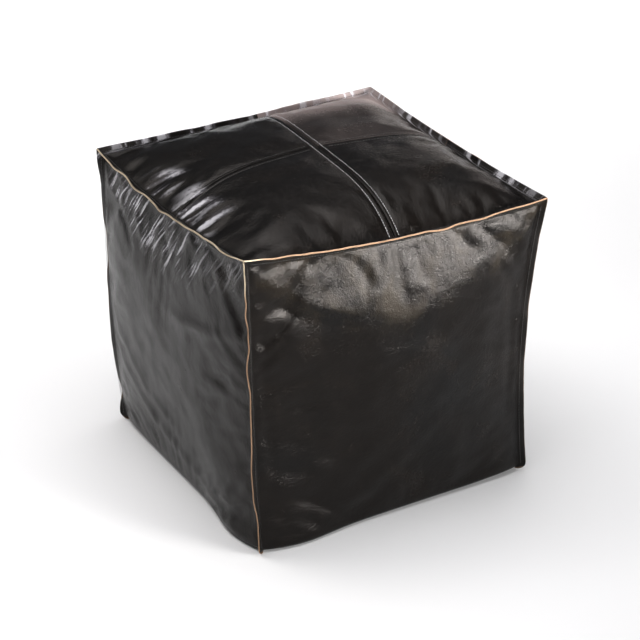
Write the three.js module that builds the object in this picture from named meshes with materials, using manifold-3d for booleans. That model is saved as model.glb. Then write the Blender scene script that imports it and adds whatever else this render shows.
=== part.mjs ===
// A leather pouf: a stuffed cube of ten leather panels with outward-turned edge seams,
// a cross of topstitched seams on the seat, a zip in the base, an inner bag and a filling.
// Millimetres, +Z up. The origin is under the centre of the pouf, on the floor.
// +X is to the right of the front face and +Y points to the back.
//
// The panels are laid out on a plain box ("flat pack") and then inflate() gives every
// piece the same pillow shape, so neighbours keep the gaps they had on the box.

import * as THREE from 'three';
import { mergeVertices } from 'three/addons/utils/BufferGeometryUtils.js';
import Module from 'manifold-3d';

// ---------------------------------------------------------------- driving dimensions

const TIP_HALF = 225;          // half the width across the top corner tips
const CORNER_HEIGHT = 429;     // height of the top corner tips
const FLANGE = 10;             // seam line to raw edge of an outward-turned seam
const LEATHER = 1.6;           // leather thickness
const PLY_GAP = 0.3;           // clearance between the two plies of a seam
const GAP = 0.3;               // clearance between touching pieces
const CROWN = 31;              // rise of the seat above its seam line
const EDGE_DIP = 12;           // sag of each top edge between its corners
const EDGE_PULL = 7;           // how far a top edge is drawn in between its corners
const WAIST = 0.05;            // how much narrower the pouf is at the floor than at the top
const BULGE = 16;              // swelling of each side, greatest at two thirds of its height
const FOOT_RADIUS = 24;        // roll of the leather under the lower edge
const CORNER_LIFT = 4;         // rise of the lower corners off the floor
const TUCK = 14;               // foot roll to base seam
const TUCK_RISE = 3;           // height of the base seam above the floor
const SEAM_TOP_BACK_X = 27;    // the long seat seam runs askew: its back end is off centre
const CROSSING = [15, 25];     // where the two seat seams cross
const STITCH_OFFSET = 6.8;     // topstitch row to seam
const THREAD_RADIUS = 0.4;
const BAG_CLEARANCE = 4;       // leather to inner bag
const BAG_CLOTH = 0.6;         // inner bag thickness
const FILL_CLEARANCE = 1;      // inner bag to filling

const ZIP_HALF_LENGTH = 150;   // half the length of the zip chain
const ZIP_HALF_GAP = 5;        // half the opening between the leather edges over the zip
const ZIP_RISE = 6;            // height of the leather edges beside the zip
const ZIP_BANK = 28;           // where the base leather reaches the floor beside the zip

// Across a panel edge, a panel is described in two directions: "out" runs in the panel
// towards its edge and "high" runs out of the pouf. Two panels meet on a mitre at 45
// degrees to both, and their seam allowances lie along it.
const REACH = FLANGE / Math.SQRT2;
const MITRE = PLY_GAP / 2 * Math.SQRT2;
const PLY = MITRE + LEATHER * Math.SQRT2;

// The seam lines of the flat-packed box.
const ROOT_HALF = TIP_HALF - REACH - PLY / 2;
const ROOT_HEIGHT = CORNER_HEIGHT - REACH;
const FOOT_SCALE = 1 - WAIST;

// ---------------------------------------------------------------- materials

const look = (color, roughness, metalness = 0) =>
  new THREE.MeshStandardMaterial({ color, roughness, metalness });

const LEATHER_LOOK = () => look(0x1a1614, 0.35);
const LIGHT_THREAD = () => look(0xb9bcbc, 0.6);
const DARK_THREAD = () => look(0x191817, 0.6);
const COTTON = () => look(0xcfc5b0, 0.9);
const STUFFING = () => look(0xe2dccd, 0.95);
const ZIP_TAPE = () => look(0x1c1b1b, 0.85);
const ZIP_COIL = () => look(0x222121, 0.45);
const ZIP_METAL = () => look(0x8c8880, 0.3, 1);

// ---------------------------------------------------------------- the pillow shape

const BULGE_SCALE = 6.75;      // makes t * t * (1 - t) reach 1 where it is greatest
const CROWN_MARGIN = 4;        // the crown of the seat starts this far inside the seam line
const CORNER_START = 0.62;     // share of the way to a corner where its foot starts to lift

const positive = (value) => Math.max(0, value);

function inflate([x, y, z]) {
  const u = x / ROOT_HALF;
  const v = y / ROOT_HALF;
  const t = positive(z / ROOT_HEIGHT);
  const taper = 1 - WAIST * positive(1 - t ** 3);
  const swell = BULGE * BULGE_SCALE * t ** 2 * (1 - t) - EDGE_PULL * t ** 6;
  const seat = ROOT_HALF - CROWN_MARGIN;
  const crown = CROWN * positive(1 - (x / seat) ** 4) * positive(1 - (y / seat) ** 4) * t ** 2;
  const dip = EDGE_DIP * ((1 - u * u) * v ** 4 + (1 - v * v) * u ** 4) * t ** 3;
  const nearCorner = positive(Math.abs(u * v) - CORNER_START) / (1 - CORNER_START);
  const lift = CORNER_LIFT * nearCorner * positive(1 - t) ** 4;
  return new THREE.Vector3(
    x * taper + swell * u * (1 - v * v),
    y * taper + swell * v * (1 - u * u),
    z + crown - dip + lift
  );
}

// ---------------------------------------------------------------- mesh helpers

function solid(vertices, faces) {
  const geometry = new THREE.BufferGeometry();
  const numbers = vertices.flatMap((v) => v.toArray());
  geometry.setAttribute('position', new THREE.Float32BufferAttribute(numbers, 3));
  geometry.setIndex(faces.flat());
  return facingOut(geometry);
}

function facingOut(geometry) {
  const point = geometry.getAttribute('position');
  const index = geometry.getIndex();
  const corner = [0, 1, 2].map(() => new THREE.Vector3());
  let volume = 0;
  for (let i = 0; i < index.count; i += 3) {
    corner.forEach((c, k) => c.fromBufferAttribute(point, index.getX(i + k)));
    volume += corner[0].dot(corner[1].clone().cross(corner[2]));
  }
  if (volume < 0) index.array.reverse();
  return geometry;
}

// A leather or cloth sheet: two grids of points with the same layout, closed along the rim.
// tipSide(column) says which way a quad is split, so that corner flanges fold along the corner.
function sheet(grain, flesh, tipSide) {
  const rows = grain.length;
  const columns = grain[0].length;
  const id = (layer, r, c) => (layer * rows + r) * columns + c;
  const faces = [];
  for (let r = 0; r < rows - 1; r++) {
    for (let c = 0; c < columns - 1; c++) {
      const [a, b, d, e] = [[r, c], [r, c + 1], [r + 1, c], [r + 1, c + 1]];
      const split = tipSide(c) ? [[a, b, e], [a, e, d]] : [[a, b, d], [b, e, d]];
      for (const [p, q, s] of split) {
        faces.push([id(0, ...p), id(0, ...q), id(0, ...s)]);
        faces.push([id(1, ...p), id(1, ...s), id(1, ...q)]);
      }
    }
  }
  const rim = [];
  for (let c = 0; c < columns - 1; c++) rim.push([0, c]);
  for (let r = 0; r < rows - 1; r++) rim.push([r, columns - 1]);
  for (let c = columns - 1; c > 0; c--) rim.push([rows - 1, c]);
  for (let r = rows - 1; r > 0; r--) rim.push([r, 0]);
  rim.forEach((here, k) => {
    const next = rim[(k + 1) % rim.length];
    faces.push([id(0, ...here), id(1, ...here), id(1, ...next)]);
    faces.push([id(0, ...here), id(1, ...next), id(0, ...next)]);
  });
  return solid([...grain.flat(), ...flesh.flat()], faces);
}

// A path whose steps are exactly its own points, for ExtrudeGeometry.
class Polyline extends THREE.Curve {
  constructor(points) {
    super();
    this.points = points;
  }
  getPoint(t, target = new THREE.Vector3()) {
    const place = t * (this.points.length - 1);
    const k = Math.min(Math.floor(place + 1e-9), this.points.length - 2);
    return target.lerpVectors(this.points[k], this.points[k + 1], place - k);
  }
  getPointAt(u, target) {
    return this.getPoint(u, target);
  }
  getTangentAt(u, target = new THREE.Vector3()) {
    const step = 0.5 / (this.points.length - 1);
    const from = this.getPoint(Math.max(0, u - step));
    const to = this.getPoint(Math.min(1, u + step));
    return target.copy(to).sub(from).normalize();
  }
}

function thread(points, sides = 5) {
  const round = Array.from({ length: sides }, (_, k) => {
    const angle = k / sides * 2 * Math.PI;
    return new THREE.Vector2(THREAD_RADIUS * Math.cos(angle), THREAD_RADIUS * Math.sin(angle));
  });
  const options = { steps: points.length - 1, extrudePath: new Polyline(points), bevelEnabled: false };
  return new THREE.ExtrudeGeometry(new THREE.Shape(round), options);
}

function block(width, depth, height, x, y, z) {
  return new THREE.BoxGeometry(width, depth, height).translate(x, y, z);
}

const wasm = await Module();
wasm.setup();

function asManifold(geometry) {
  const bare = geometry.clone();
  bare.deleteAttribute('normal');
  bare.deleteAttribute('uv');
  const merged = mergeVertices(bare, 1e-4);
  return new wasm.Manifold(new wasm.Mesh({
    numProp: 3,
    vertProperties: new Float32Array(merged.getAttribute('position').array),
    triVerts: new Uint32Array(merged.getIndex().array)
  }));
}

function fuse(geometries) {
  const joined = geometries.map(asManifold).reduce((sum, piece) => sum.add(piece));
  const mesh = joined.getMesh();
  const geometry = new THREE.BufferGeometry();
  geometry.setAttribute('position', new THREE.Float32BufferAttribute(mesh.vertProperties, 3));
  geometry.setIndex(new THREE.Uint32BufferAttribute(mesh.triVerts, 1));
  return geometry;
}

const pouf = new THREE.Group();

function add(name, geometry, material) {
  const mesh = new THREE.Mesh(geometry, material);
  mesh.name = name;
  pouf.add(mesh);
  return mesh;
}

// ---------------------------------------------------------------- seam sections

const ROOT = {
  grain: { out: -PLY, high: 0 },
  flesh: { out: -LEATHER - MITRE, high: -LEATHER }
};
const TIP = {
  grain: { out: REACH - PLY / 2, high: REACH + PLY / 2 },
  flesh: { out: REACH - MITRE / 2, high: REACH + MITRE / 2 }
};
const HIGH = { grain: 0, flesh: -LEATHER };

const STITCH_UP = 3 / Math.SQRT2;
const STITCH_OFF = (LEATHER + PLY_GAP / 2 + GAP + THREAD_RADIUS) / Math.SQRT2;
const SEAM_STITCH = { out: STITCH_UP - STITCH_OFF, high: STITCH_UP + STITCH_OFF };

// ---------------------------------------------------------------- seat: four quarters

const SPREAD = [0, STITCH_OFFSET / ROOT_HALF, 0.25, 0.48, 0.7, 0.87, 1];

const lerp = (from, to, share) => from + (to - from) * share;

// The seat seams, as functions of the share of the way from the crossing to the edge.
const SEAM_ENDS = {
  front: [0, -ROOT_HALF],
  back: [SEAM_TOP_BACK_X, ROOT_HALF],
  left: [-ROOT_HALF, 0],
  right: [ROOT_HALF, 0]
};

function seatPoint(sideX, sideY, p, q) {
  const endX = SEAM_ENDS[sideX < 0 ? 'left' : 'right'];
  const endY = SEAM_ENDS[sideY < 0 ? 'front' : 'back'];
  const corner = [sideX * ROOT_HALF, sideY * ROOT_HALF];
  const along = (axis) => lerp(
    lerp(CROSSING[axis], endX[axis], p),
    lerp(endY[axis], corner[axis], p),
    q
  );
  return [along(0), along(1)];
}

function seatQuarter(sideX, sideY) {
  const stations = [...SPREAD.map((share) => ({ share })), { share: 1, tip: true }];
  const edge = (station, layer) => {
    if (station.tip) return TIP[layer].out;
    if (station.share === 1) return ROOT[layer].out;
    return station.share === 0 ? GAP / 2 : 0;
  };
  const grid = (layer) => stations.map((row) => stations.map((column) => {
    const [x, y] = seatPoint(sideX, sideY, column.share, row.share);
    const high = column.tip || row.tip ? TIP[layer].high : HIGH[layer];
    return inflate([
      x + sideX * edge(column, layer),
      y + sideY * edge(row, layer),
      ROOT_HEIGHT + high
    ]);
  }));
  return sheet(grid('grain'), grid('flesh'), () => true);
}

const QUARTERS = { front_left: [-1, -1], front_right: [1, -1], back_left: [-1, 1], back_right: [1, 1] };

for (const [name, [sideX, sideY]] of Object.entries(QUARTERS)) {
  add(`top_panel_${name}`, seatQuarter(sideX, sideY), LEATHER_LOOK());
}

// ---------------------------------------------------------------- sides

// Stations down a side, from the foot of the panel up to its top edge. Each is a place on
// the side's profile: how far out from the middle of the pouf, how high, and which way the
// surface faces (0 = straight out, 90 = straight down).
const ARC_STEPS = 4;
const WALL_SHARES = [0.14, 0.3, 0.46, 0.62, 0.76, 0.88];

function sideProfile() {
  const foot = ROOT_HALF - FOOT_RADIUS;
  const stations = [{ out: foot - TUCK, height: TUCK_RISE, facing: 90 }];
  stations.push({ out: foot - TUCK / 2, height: 0, facing: 90 });
  for (let k = ARC_STEPS; k >= 0; k--) {
    const facing = k / ARC_STEPS * 90;
    const angle = THREE.MathUtils.degToRad(facing);
    stations.push({
      out: foot + FOOT_RADIUS * Math.cos(angle),
      height: FOOT_RADIUS * (1 - Math.sin(angle)),
      facing
    });
  }
  for (const share of WALL_SHARES) {
    stations.push({ out: ROOT_HALF, height: lerp(FOOT_RADIUS, ROOT_HEIGHT, share), facing: 0 });
  }
  stations.push({ out: ROOT_HALF, height: ROOT_HEIGHT, facing: 0, root: true });
  stations.push({ out: ROOT_HALF, height: ROOT_HEIGHT, facing: 0, tip: true });
  return stations;
}

const PROFILE = sideProfile();
const ACROSS = [-1, -0.87, -0.7, -0.48, -0.25, 0, 0.25, 0.48, 0.7, 0.87, 1];

// How much of the flange is left where it runs under the foot.
const flangeShare = (facing) => Math.max(0.05, Math.cos(THREE.MathUtils.degToRad(facing)) ** 2);

// One point of a side in its own frame: across the side, out of it, and up.
function sidePoint(station, column, layer) {
  const angle = THREE.MathUtils.degToRad(station.facing);
  let high = HIGH[layer];
  if (column.tip) high = TIP[layer].high * flangeShare(station.facing);
  if (station.tip) high = TIP[layer].high;
  const out = station.out + high * Math.cos(angle);
  let height = station.height - high * Math.sin(angle);
  if (station.root) height += ROOT[layer].out;
  if (station.tip) height += TIP[layer].out;
  let across = column.share * station.out;
  if (column.root || column.tip) {
    const mitre = layer === 'grain' ? PLY : MITRE;
    across = column.side * (out - mitre);
    if (station.tip && column.root) across = column.side * (station.out + ROOT[layer].out);
  }
  return [across, out, height];
}

// The four faces: where a side's own "across" and "out" point.
const FACES = {
  front: { across: [1, 0], out: [0, -1] },
  right: { across: [0, 1], out: [1, 0] },
  back: { across: [-1, 0], out: [0, 1] },
  left: { across: [0, -1], out: [-1, 0] }
};

function onFace(face, [across, out, height]) {
  const { across: a, out: o } = FACES[face];
  return inflate([across * a[0] + out * o[0], across * a[1] + out * o[1], height]);
}

function sidePanel(face) {
  const columns = [
    { side: -1, tip: true },
    ...ACROSS.map((share) => ({ share, side: Math.sign(share), root: Math.abs(share) === 1 })),
    { side: 1, tip: true }
  ];
  const grid = (layer) => PROFILE.map((station) => columns.map((column) =>
    onFace(face, sidePoint(station, column, layer))));
  return sheet(grid('grain'), grid('flesh'), (c) => c >= columns.length / 2 - 1);
}

for (const face of Object.keys(FACES)) {
  add(`side_panel_${face}`, sidePanel(face), LEATHER_LOOK());
}

// ---------------------------------------------------------------- base: two halves

const BASE_HALF = ROOT_HALF - FOOT_RADIUS - TUCK - GAP;
const BASE_FLAT = BASE_HALF - TUCK / 2;
const PAST_ZIP = 12;           // where the two halves meet again beyond each end of the zip

// Heights and zip-side edges of the base leather at each station from front to back.
function baseRows() {
  const half = [
    { y: BASE_HALF, rise: TUCK_RISE, edge: GAP / 2, bank: 0 },
    { y: BASE_FLAT, rise: 0, edge: GAP / 2, bank: 0 },
    { y: (ZIP_HALF_LENGTH + PAST_ZIP) / FOOT_SCALE, rise: 0, edge: GAP / 2, bank: 0 },
    { y: ZIP_HALF_LENGTH / FOOT_SCALE, rise: 0, edge: ZIP_HALF_GAP / FOOT_SCALE, bank: ZIP_RISE }
  ];
  return [...half.map((row) => ({ ...row, y: -row.y })), ...half.reverse()];
}

function baseHalf(side) {
  const columns = [
    (row) => [row.edge, Math.max(row.bank, row.rise)],
    (row) => [ZIP_BANK / FOOT_SCALE, row.rise],
    (row) => [BASE_FLAT, row.rise],
    () => [BASE_HALF, TUCK_RISE]
  ];
  const grid = (thickness) => baseRows().map((row) => columns.map((column) => {
    const [x, z] = column(row);
    return inflate([side * x, row.y, z + thickness]);
  }));
  return sheet(grid(0), grid(LEATHER), () => true);
}

add('base_panel_left', baseHalf(-1), LEATHER_LOOK());
add('base_panel_right', baseHalf(1), LEATHER_LOOK());

// ---------------------------------------------------------------- edge seam threads
//
// Each outward-turned seam is closed by a lockstitch: one thread shows on each side of it.

const NEAR_CORNER = 3;
const EDGE_RUN = ACROSS.map((share) => share * (1 - NEAR_CORNER / ROOT_HALF));

for (const face of Object.keys(FACES)) {
  const { out, high } = SEAM_STITCH;
  const upper = EDGE_RUN.map((share) =>
    onFace(face, [share * ROOT_HALF, ROOT_HALF + out, ROOT_HEIGHT + high]));
  const lower = EDGE_RUN.map((share) =>
    onFace(face, [share * ROOT_HALF, ROOT_HALF + high, ROOT_HEIGHT + out]));
  add(`top_seam_thread_${face}_upper`, thread(upper), DARK_THREAD());
  add(`top_seam_thread_${face}_lower`, thread(lower), DARK_THREAD());
}

const WALL_RUN = PROFILE.filter((station) => station.facing === 0 && !station.tip)
  .map((station) => (station.root ? station.height - NEAR_CORNER : station.height));

const CORNERS = { front_right: 'front', back_right: 'right', back_left: 'back', front_left: 'left' };
const FACE_ORDER = Object.keys(FACES);

for (const [corner, face] of Object.entries(CORNERS)) {
  const next = FACE_ORDER[(FACE_ORDER.indexOf(face) + 1) % FACE_ORDER.length];
  const { out, high } = SEAM_STITCH;
  const first = WALL_RUN.map((height) => onFace(face, [ROOT_HALF + out, ROOT_HALF + high, height]));
  const second = WALL_RUN.map((height) => onFace(next, [-ROOT_HALF - out, ROOT_HALF + high, height]));
  add(`corner_seam_thread_${corner}_on_${face}`, thread(first), DARK_THREAD());
  add(`corner_seam_thread_${corner}_on_${next}`, thread(second), DARK_THREAD());
}

// ---------------------------------------------------------------- base seam threads

const BASE_THREAD_DROP = GAP + THREAD_RADIUS;
const BASE_RUN = [-1, -0.96, -0.9, 0, 0.9, 0.96, 1];

for (const face of Object.keys(FACES)) {
  const seam = ROOT_HALF - FOOT_RADIUS - TUCK - GAP / 2;
  const run = BASE_RUN.map((share) =>
    onFace(face, [share * (seam - NEAR_CORNER), seam, TUCK_RISE - BASE_THREAD_DROP]));
  add(`base_seam_thread_${face}`, thread(run), DARK_THREAD());
}

// ---------------------------------------------------------------- seat seam threads

// A row on the seat: stations along one seam, at a fixed number of shares off it. The ends
// stop short of the edge seams, on the straight stretch before them.
const END_TRIM = 0.2;

function seatRow(stations, high) {
  return stations.map(([sideX, sideY, p, q]) => {
    const [x, y] = seatPoint(sideX, sideY, p, q);
    const inX = p === 1 ? sideX * ROOT.grain.out : 0;
    const inY = q === 1 ? sideY * ROOT.grain.out : 0;
    return inflate([x + inX, y + inY, ROOT_HEIGHT + high]);
  });
}

function trimmed(points, atStart, atEnd) {
  const last = points.length - 1;
  if (atStart) points[0].lerp(points[1], END_TRIM);
  if (atEnd) points[last].lerp(points[last - 1], END_TRIM);
  return points;
}

const OVER = GAP + THREAD_RADIUS;
const UNDER = -LEATHER - GAP - THREAD_RADIUS;
const FROM_CROSSING = SPREAD.slice(1);
const ROW_SHARE = SPREAD[1];

const longRow = (sideX, share, high) => trimmed(seatRow([
  ...FROM_CROSSING.toReversed().map((q) => [sideX, -1, share, q]),
  [sideX, -1, share, 0],
  ...FROM_CROSSING.map((q) => [sideX, 1, share, q])
], high), true, true);

const crossRow = (sideX, sideY, share, high) => trimmed(seatRow(
  SPREAD.slice(2).map((p) => [sideX, sideY, p, share]), high), false, true);

add('topstitch_long_left', thread(longRow(-1, ROW_SHARE, OVER)), LIGHT_THREAD());
add('topstitch_long_right', thread(longRow(1, ROW_SHARE, OVER)), LIGHT_THREAD());
add('closing_thread_long', thread(longRow(1, 0, UNDER)), DARK_THREAD());

for (const [name, sideX] of [['left', -1], ['right', 1]]) {
  add(`topstitch_cross_${name}_front`, thread(crossRow(sideX, -1, ROW_SHARE, OVER)), DARK_THREAD());
  add(`topstitch_cross_${name}_back`, thread(crossRow(sideX, 1, ROW_SHARE, OVER)), DARK_THREAD());
  add(`closing_thread_cross_${name}`, thread(crossRow(sideX, 1, 0, UNDER)), DARK_THREAD());
}

// ---------------------------------------------------------------- zip

const COIL_LOW = 5.3;
const COIL_HIGH = 7.6;
const COIL_WIDTH = 3;
const TAPE_LOW = COIL_HIGH + GAP;
const TAPE_THICK = 0.6;
const TAPE_WIDTH = 15;
const TAPE_HALF_LENGTH = ZIP_HALF_LENGTH + 8;
const STOP_LENGTH = 3;
const TOP_STOP_WIDTH = 5;
const BOTTOM_STOP_WIDTH = 6;
const STITCH_INSET = 4;        // the tape's stitching runs this far in from the leather's edges
const STITCH_CLEARANCE = 0.1;
const OVERLAP = 0.2;           // bars are run into each other by this much before they are fused

for (const [name, side] of [['left', -1], ['right', 1]]) {
  const coilMiddle = side * (GAP / 2 + COIL_WIDTH / 2);
  const tapeMiddle = side * (GAP / 2 + TAPE_WIDTH / 2);
  const chain = 2 * (ZIP_HALF_LENGTH - STOP_LENGTH - GAP);
  add(
    `zip_coil_${name}`,
    block(COIL_WIDTH, chain, COIL_HIGH - COIL_LOW, coilMiddle, 0, (COIL_LOW + COIL_HIGH) / 2),
    ZIP_COIL()
  );
  add(
    `zip_tape_${name}`,
    block(TAPE_WIDTH, 2 * TAPE_HALF_LENGTH, TAPE_THICK, tapeMiddle, 0, TAPE_LOW + TAPE_THICK / 2),
    ZIP_TAPE()
  );
  // The row that holds the tape to the leather runs along the bank beside the chain.
  const rowX = ZIP_HALF_GAP + STITCH_INSET;
  const bankHeight = ZIP_RISE * (ZIP_BANK - rowX) / (ZIP_BANK - ZIP_HALF_GAP);
  const rowY = ZIP_HALF_LENGTH - STITCH_INSET;
  const rowHeight = bankHeight - OVER - STITCH_CLEARANCE;
  const ends = [-1, 0, 1].map((share) => new THREE.Vector3(side * rowX, share * rowY, rowHeight));
  add(`zip_stitching_${name}`, thread(ends), DARK_THREAD());
}

const stopY = ZIP_HALF_LENGTH - STOP_LENGTH / 2;
const stopHeight = COIL_HIGH - COIL_LOW;
const zipStop = (width, y) => block(width, STOP_LENGTH, stopHeight, 0, y, COIL_LOW + stopHeight / 2);
add('zip_top_stop', zipStop(TOP_STOP_WIDTH, stopY), ZIP_METAL());
add('zip_bottom_stop', zipStop(BOTTOM_STOP_WIDTH, -stopY), ZIP_METAL());

// The slider: a channel round the outside of the chain, with a bail for the pull tab.
const SLIDER_LENGTH = 12;
const SLIDER_REST = 1;         // gap between the closed slider and the top stop
const SLIDER_Y = ZIP_HALF_LENGTH - STOP_LENGTH - GAP - SLIDER_LENGTH / 2 - SLIDER_REST;
const SLIDER_HALF_WIDTH = 4.6;
const SLIDER_CHEEK = 1;
const PLATE_HIGH = COIL_LOW - 0.4;
const PLATE_THICK = 1.1;
const PLATE_LOW = PLATE_HIGH - PLATE_THICK;
const CHEEK_HIGH = 7.3;
const BAIL_WIDTH = 2;
const BAIL_POST = 1.2;
const BAIL_HALF_LENGTH = 3.6;
const BAIL_LOW = 0.7;
const BAIL_THICK = 0.9;

function zipSlider() {
  const cheekHeight = CHEEK_HIGH - PLATE_LOW;
  const cheekX = SLIDER_HALF_WIDTH - SLIDER_CHEEK / 2;
  const postHeight = PLATE_LOW - BAIL_LOW + OVERLAP;
  const postY = BAIL_HALF_LENGTH - BAIL_POST / 2;
  const plateMiddle = PLATE_LOW + PLATE_THICK / 2;
  const plate = block(2 * SLIDER_HALF_WIDTH, SLIDER_LENGTH, PLATE_THICK, 0, 0, plateMiddle);
  const cheeks = [-1, 1].map((side) =>
    block(SLIDER_CHEEK, SLIDER_LENGTH, cheekHeight, side * cheekX, 0, PLATE_LOW + cheekHeight / 2));
  const posts = [-1, 1].map((side) =>
    block(BAIL_WIDTH, BAIL_POST, postHeight, 0, side * postY, BAIL_LOW + postHeight / 2));
  const bar = block(BAIL_WIDTH, 2 * BAIL_HALF_LENGTH, BAIL_THICK, 0, 0, BAIL_LOW + BAIL_THICK / 2);
  return fuse([plate, ...cheeks, ...posts, bar]);
}

add('zip_slider', zipSlider(), ZIP_METAL()).position.y = SLIDER_Y;

// The pull tab hangs from the bail by a round bar and lies flat under the chain.
const PIVOT_HEIGHT = (BAIL_LOW + BAIL_THICK + PLATE_LOW) / 2;
const PIVOT_RADIUS = 0.5;
const EYE_LENGTH = 8;
const EYE_INSIDE = 1.6;
const ARM_WIDTH = 1.2;
const TAB_LENGTH = 18;
const TAB_MARGIN = 1;          // the tab is this much wider than its two arms together
const TAB_THICK = 1;

function pullTab() {
  const armX = EYE_INSIDE + ARM_WIDTH / 2;
  const width = 2 * (EYE_INSIDE + ARM_WIDTH);
  const pivot = new THREE.CylinderGeometry(PIVOT_RADIUS, PIVOT_RADIUS, width, 12).rotateZ(Math.PI / 2);
  const arms = [-1, 1].map((side) =>
    block(ARM_WIDTH, EYE_LENGTH, TAB_THICK, side * armX, -EYE_LENGTH / 2, 0));
  const tabMiddle = -EYE_LENGTH - TAB_LENGTH / 2 + OVERLAP;
  const tab = block(width + TAB_MARGIN, TAB_LENGTH, TAB_THICK, 0, tabMiddle, 0);
  return fuse([pivot, ...arms, tab]);
}

add('zip_pull_tab', pullTab(), ZIP_METAL()).position.set(0, SLIDER_Y, PIVOT_HEIGHT);

// ---------------------------------------------------------------- inner bag and filling

// A box surface with a chamfered foot and a trough over the zip, inset from the cover.
const TROUGH_HEIGHT = 8;
const TROUGH_HALF = 46;
const TROUGH_SLOPE = 16;
const CORE_CHAMFER = 4;        // the core's foot is cut off this much more than the cover's
const CORE_LEVELS = [0, 0.2, 0.4, 0.6, 0.8, 0.92, 1];

function coreSurface(inset) {
  const half = ROOT_HALF - LEATHER - inset;
  const low = LEATHER + TUCK_RISE + inset / 3;
  const high = ROOT_HEIGHT - LEATHER - inset;
  const foot = FOOT_RADIUS + CORE_CHAMFER;
  const levels = CORE_LEVELS.map((share) => lerp(low + foot, high, share));
  return { half, low, foot, levels };
}

const troughShare = (x) => THREE.MathUtils.clamp((TROUGH_HALF - Math.abs(x)) / TROUGH_SLOPE, 0, 1);
const trough = (x) => TROUGH_HEIGHT * troughShare(x);

// Every face of the core as a grid of points; shared edges use the same shares.
function coreFaces(inset, shares) {
  const { half, low, foot, levels } = coreSurface(inset);
  const sole = (x, y) => [x * (half - foot), y * (half - foot), low + trough(x * (half - foot))];
  const wall = (across, level, face) => {
    const { across: a, out: o } = FACES[face];
    return [half * (across * a[0] + o[0]), half * (across * a[1] + o[1]), level];
  };
  const grids = [];
  grids.push(shares.map((y) => shares.map((x) => [x * half, y * half, levels.at(-1)])));
  grids.push(shares.map((y) => shares.map((x) => sole(x, -y))));
  for (const face of Object.keys(FACES)) {
    const { across: a, out: o } = FACES[face];
    const rows = levels.map((level) => shares.map((share) => wall(share, level, face)));
    rows.unshift(shares.map((share) => sole(share * a[0] + o[0], share * a[1] + o[1])));
    grids.push(rows);
  }
  return grids;
}

const CORE_GRID = [-1, -0.86, -0.6, -0.25, -0.08, 0.08, 0.25, 0.6, 0.86, 1];
const SOLE = 1;
const MIDDLE = (CORE_GRID.length - 2) / 2;

// Triangles of the grids; the sole's middle quad is left out where an opening is asked for.
function coreTriangles(grids, offset, open) {
  const faces = [];
  const hole = [];
  let start = offset;
  grids.forEach((grid, g) => {
    const columns = grid[0].length;
    for (let r = 0; r < grid.length - 1; r++) {
      for (let c = 0; c < columns - 1; c++) {
        const a = start + r * columns + c;
        const quad = [a, a + 1, a + columns + 1, a + columns];
        if (open && g === SOLE && r === MIDDLE && c === MIDDLE) hole.push(...quad);
        else faces.push([quad[0], quad[1], quad[2]], [quad[0], quad[2], quad[3]]);
      }
    }
    start += grid.length * columns;
  });
  return { faces, hole, end: start };
}

function filling(inset) {
  const grids = coreFaces(inset, CORE_GRID);
  const { faces } = coreTriangles(grids, 0, false);
  return mergeVertices(solid(grids.flat(2).map(inflate), faces), 1e-3);
}

function innerBag(inset) {
  const outer = coreFaces(inset, CORE_GRID);
  const inner = coreFaces(inset + BAG_CLOTH, CORE_GRID);
  const outside = coreTriangles(outer, 0, true);
  const inside = coreTriangles(inner, outside.end, true);
  const walls = outside.hole.flatMap((here, k) => {
    const next = (k + 1) % 4;
    return [
      [here, outside.hole[next], inside.hole[next]],
      [here, inside.hole[next], inside.hole[k]]
    ];
  });
  const faces = [...outside.faces, ...inside.faces.map((face) => face.toReversed()), ...walls];
  return mergeVertices(solid([...outer.flat(2), ...inner.flat(2)].map(inflate), faces), 1e-3);
}

add('inner_bag', innerBag(BAG_CLEARANCE), COTTON());
add('filling', filling(BAG_CLEARANCE + BAG_CLOTH + FILL_CLEARANCE), STUFFING());

export default pouf;
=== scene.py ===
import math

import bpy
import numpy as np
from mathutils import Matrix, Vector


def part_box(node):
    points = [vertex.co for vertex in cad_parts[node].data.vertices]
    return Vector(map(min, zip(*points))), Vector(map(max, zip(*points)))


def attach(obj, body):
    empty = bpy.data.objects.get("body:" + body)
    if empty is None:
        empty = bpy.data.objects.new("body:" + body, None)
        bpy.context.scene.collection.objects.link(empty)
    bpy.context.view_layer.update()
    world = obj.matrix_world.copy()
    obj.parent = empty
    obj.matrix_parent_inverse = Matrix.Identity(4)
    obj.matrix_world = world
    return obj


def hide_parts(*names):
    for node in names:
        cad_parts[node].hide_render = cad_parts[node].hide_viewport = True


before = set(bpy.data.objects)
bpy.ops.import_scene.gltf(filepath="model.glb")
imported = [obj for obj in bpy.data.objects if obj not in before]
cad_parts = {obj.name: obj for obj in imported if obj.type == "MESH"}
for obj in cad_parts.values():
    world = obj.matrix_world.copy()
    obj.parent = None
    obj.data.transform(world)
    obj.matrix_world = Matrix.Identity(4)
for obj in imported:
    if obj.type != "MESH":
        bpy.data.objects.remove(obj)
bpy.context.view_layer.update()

# %% [markdown]
# # A leather pouf, in Blender
# A pouf is a stuffed leather cube for sitting on or putting the feet up. Ten pieces of
# leather are cut flat: four quarters of the seat, four sides and two halves of the base.
# They are sewn together, and the filling then rounds the whole thing like a pillow.
# The imported frame gives the exact size and place of every piece. This lesson adds what
# the eye wants on top of it: soft bulges, folds, sewing thread and a leather finish.

# %% [markdown]
# ## The camera
# A long lens from well above the seat shows the top and two sides with little
# perspective. The camera is made first.

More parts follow.
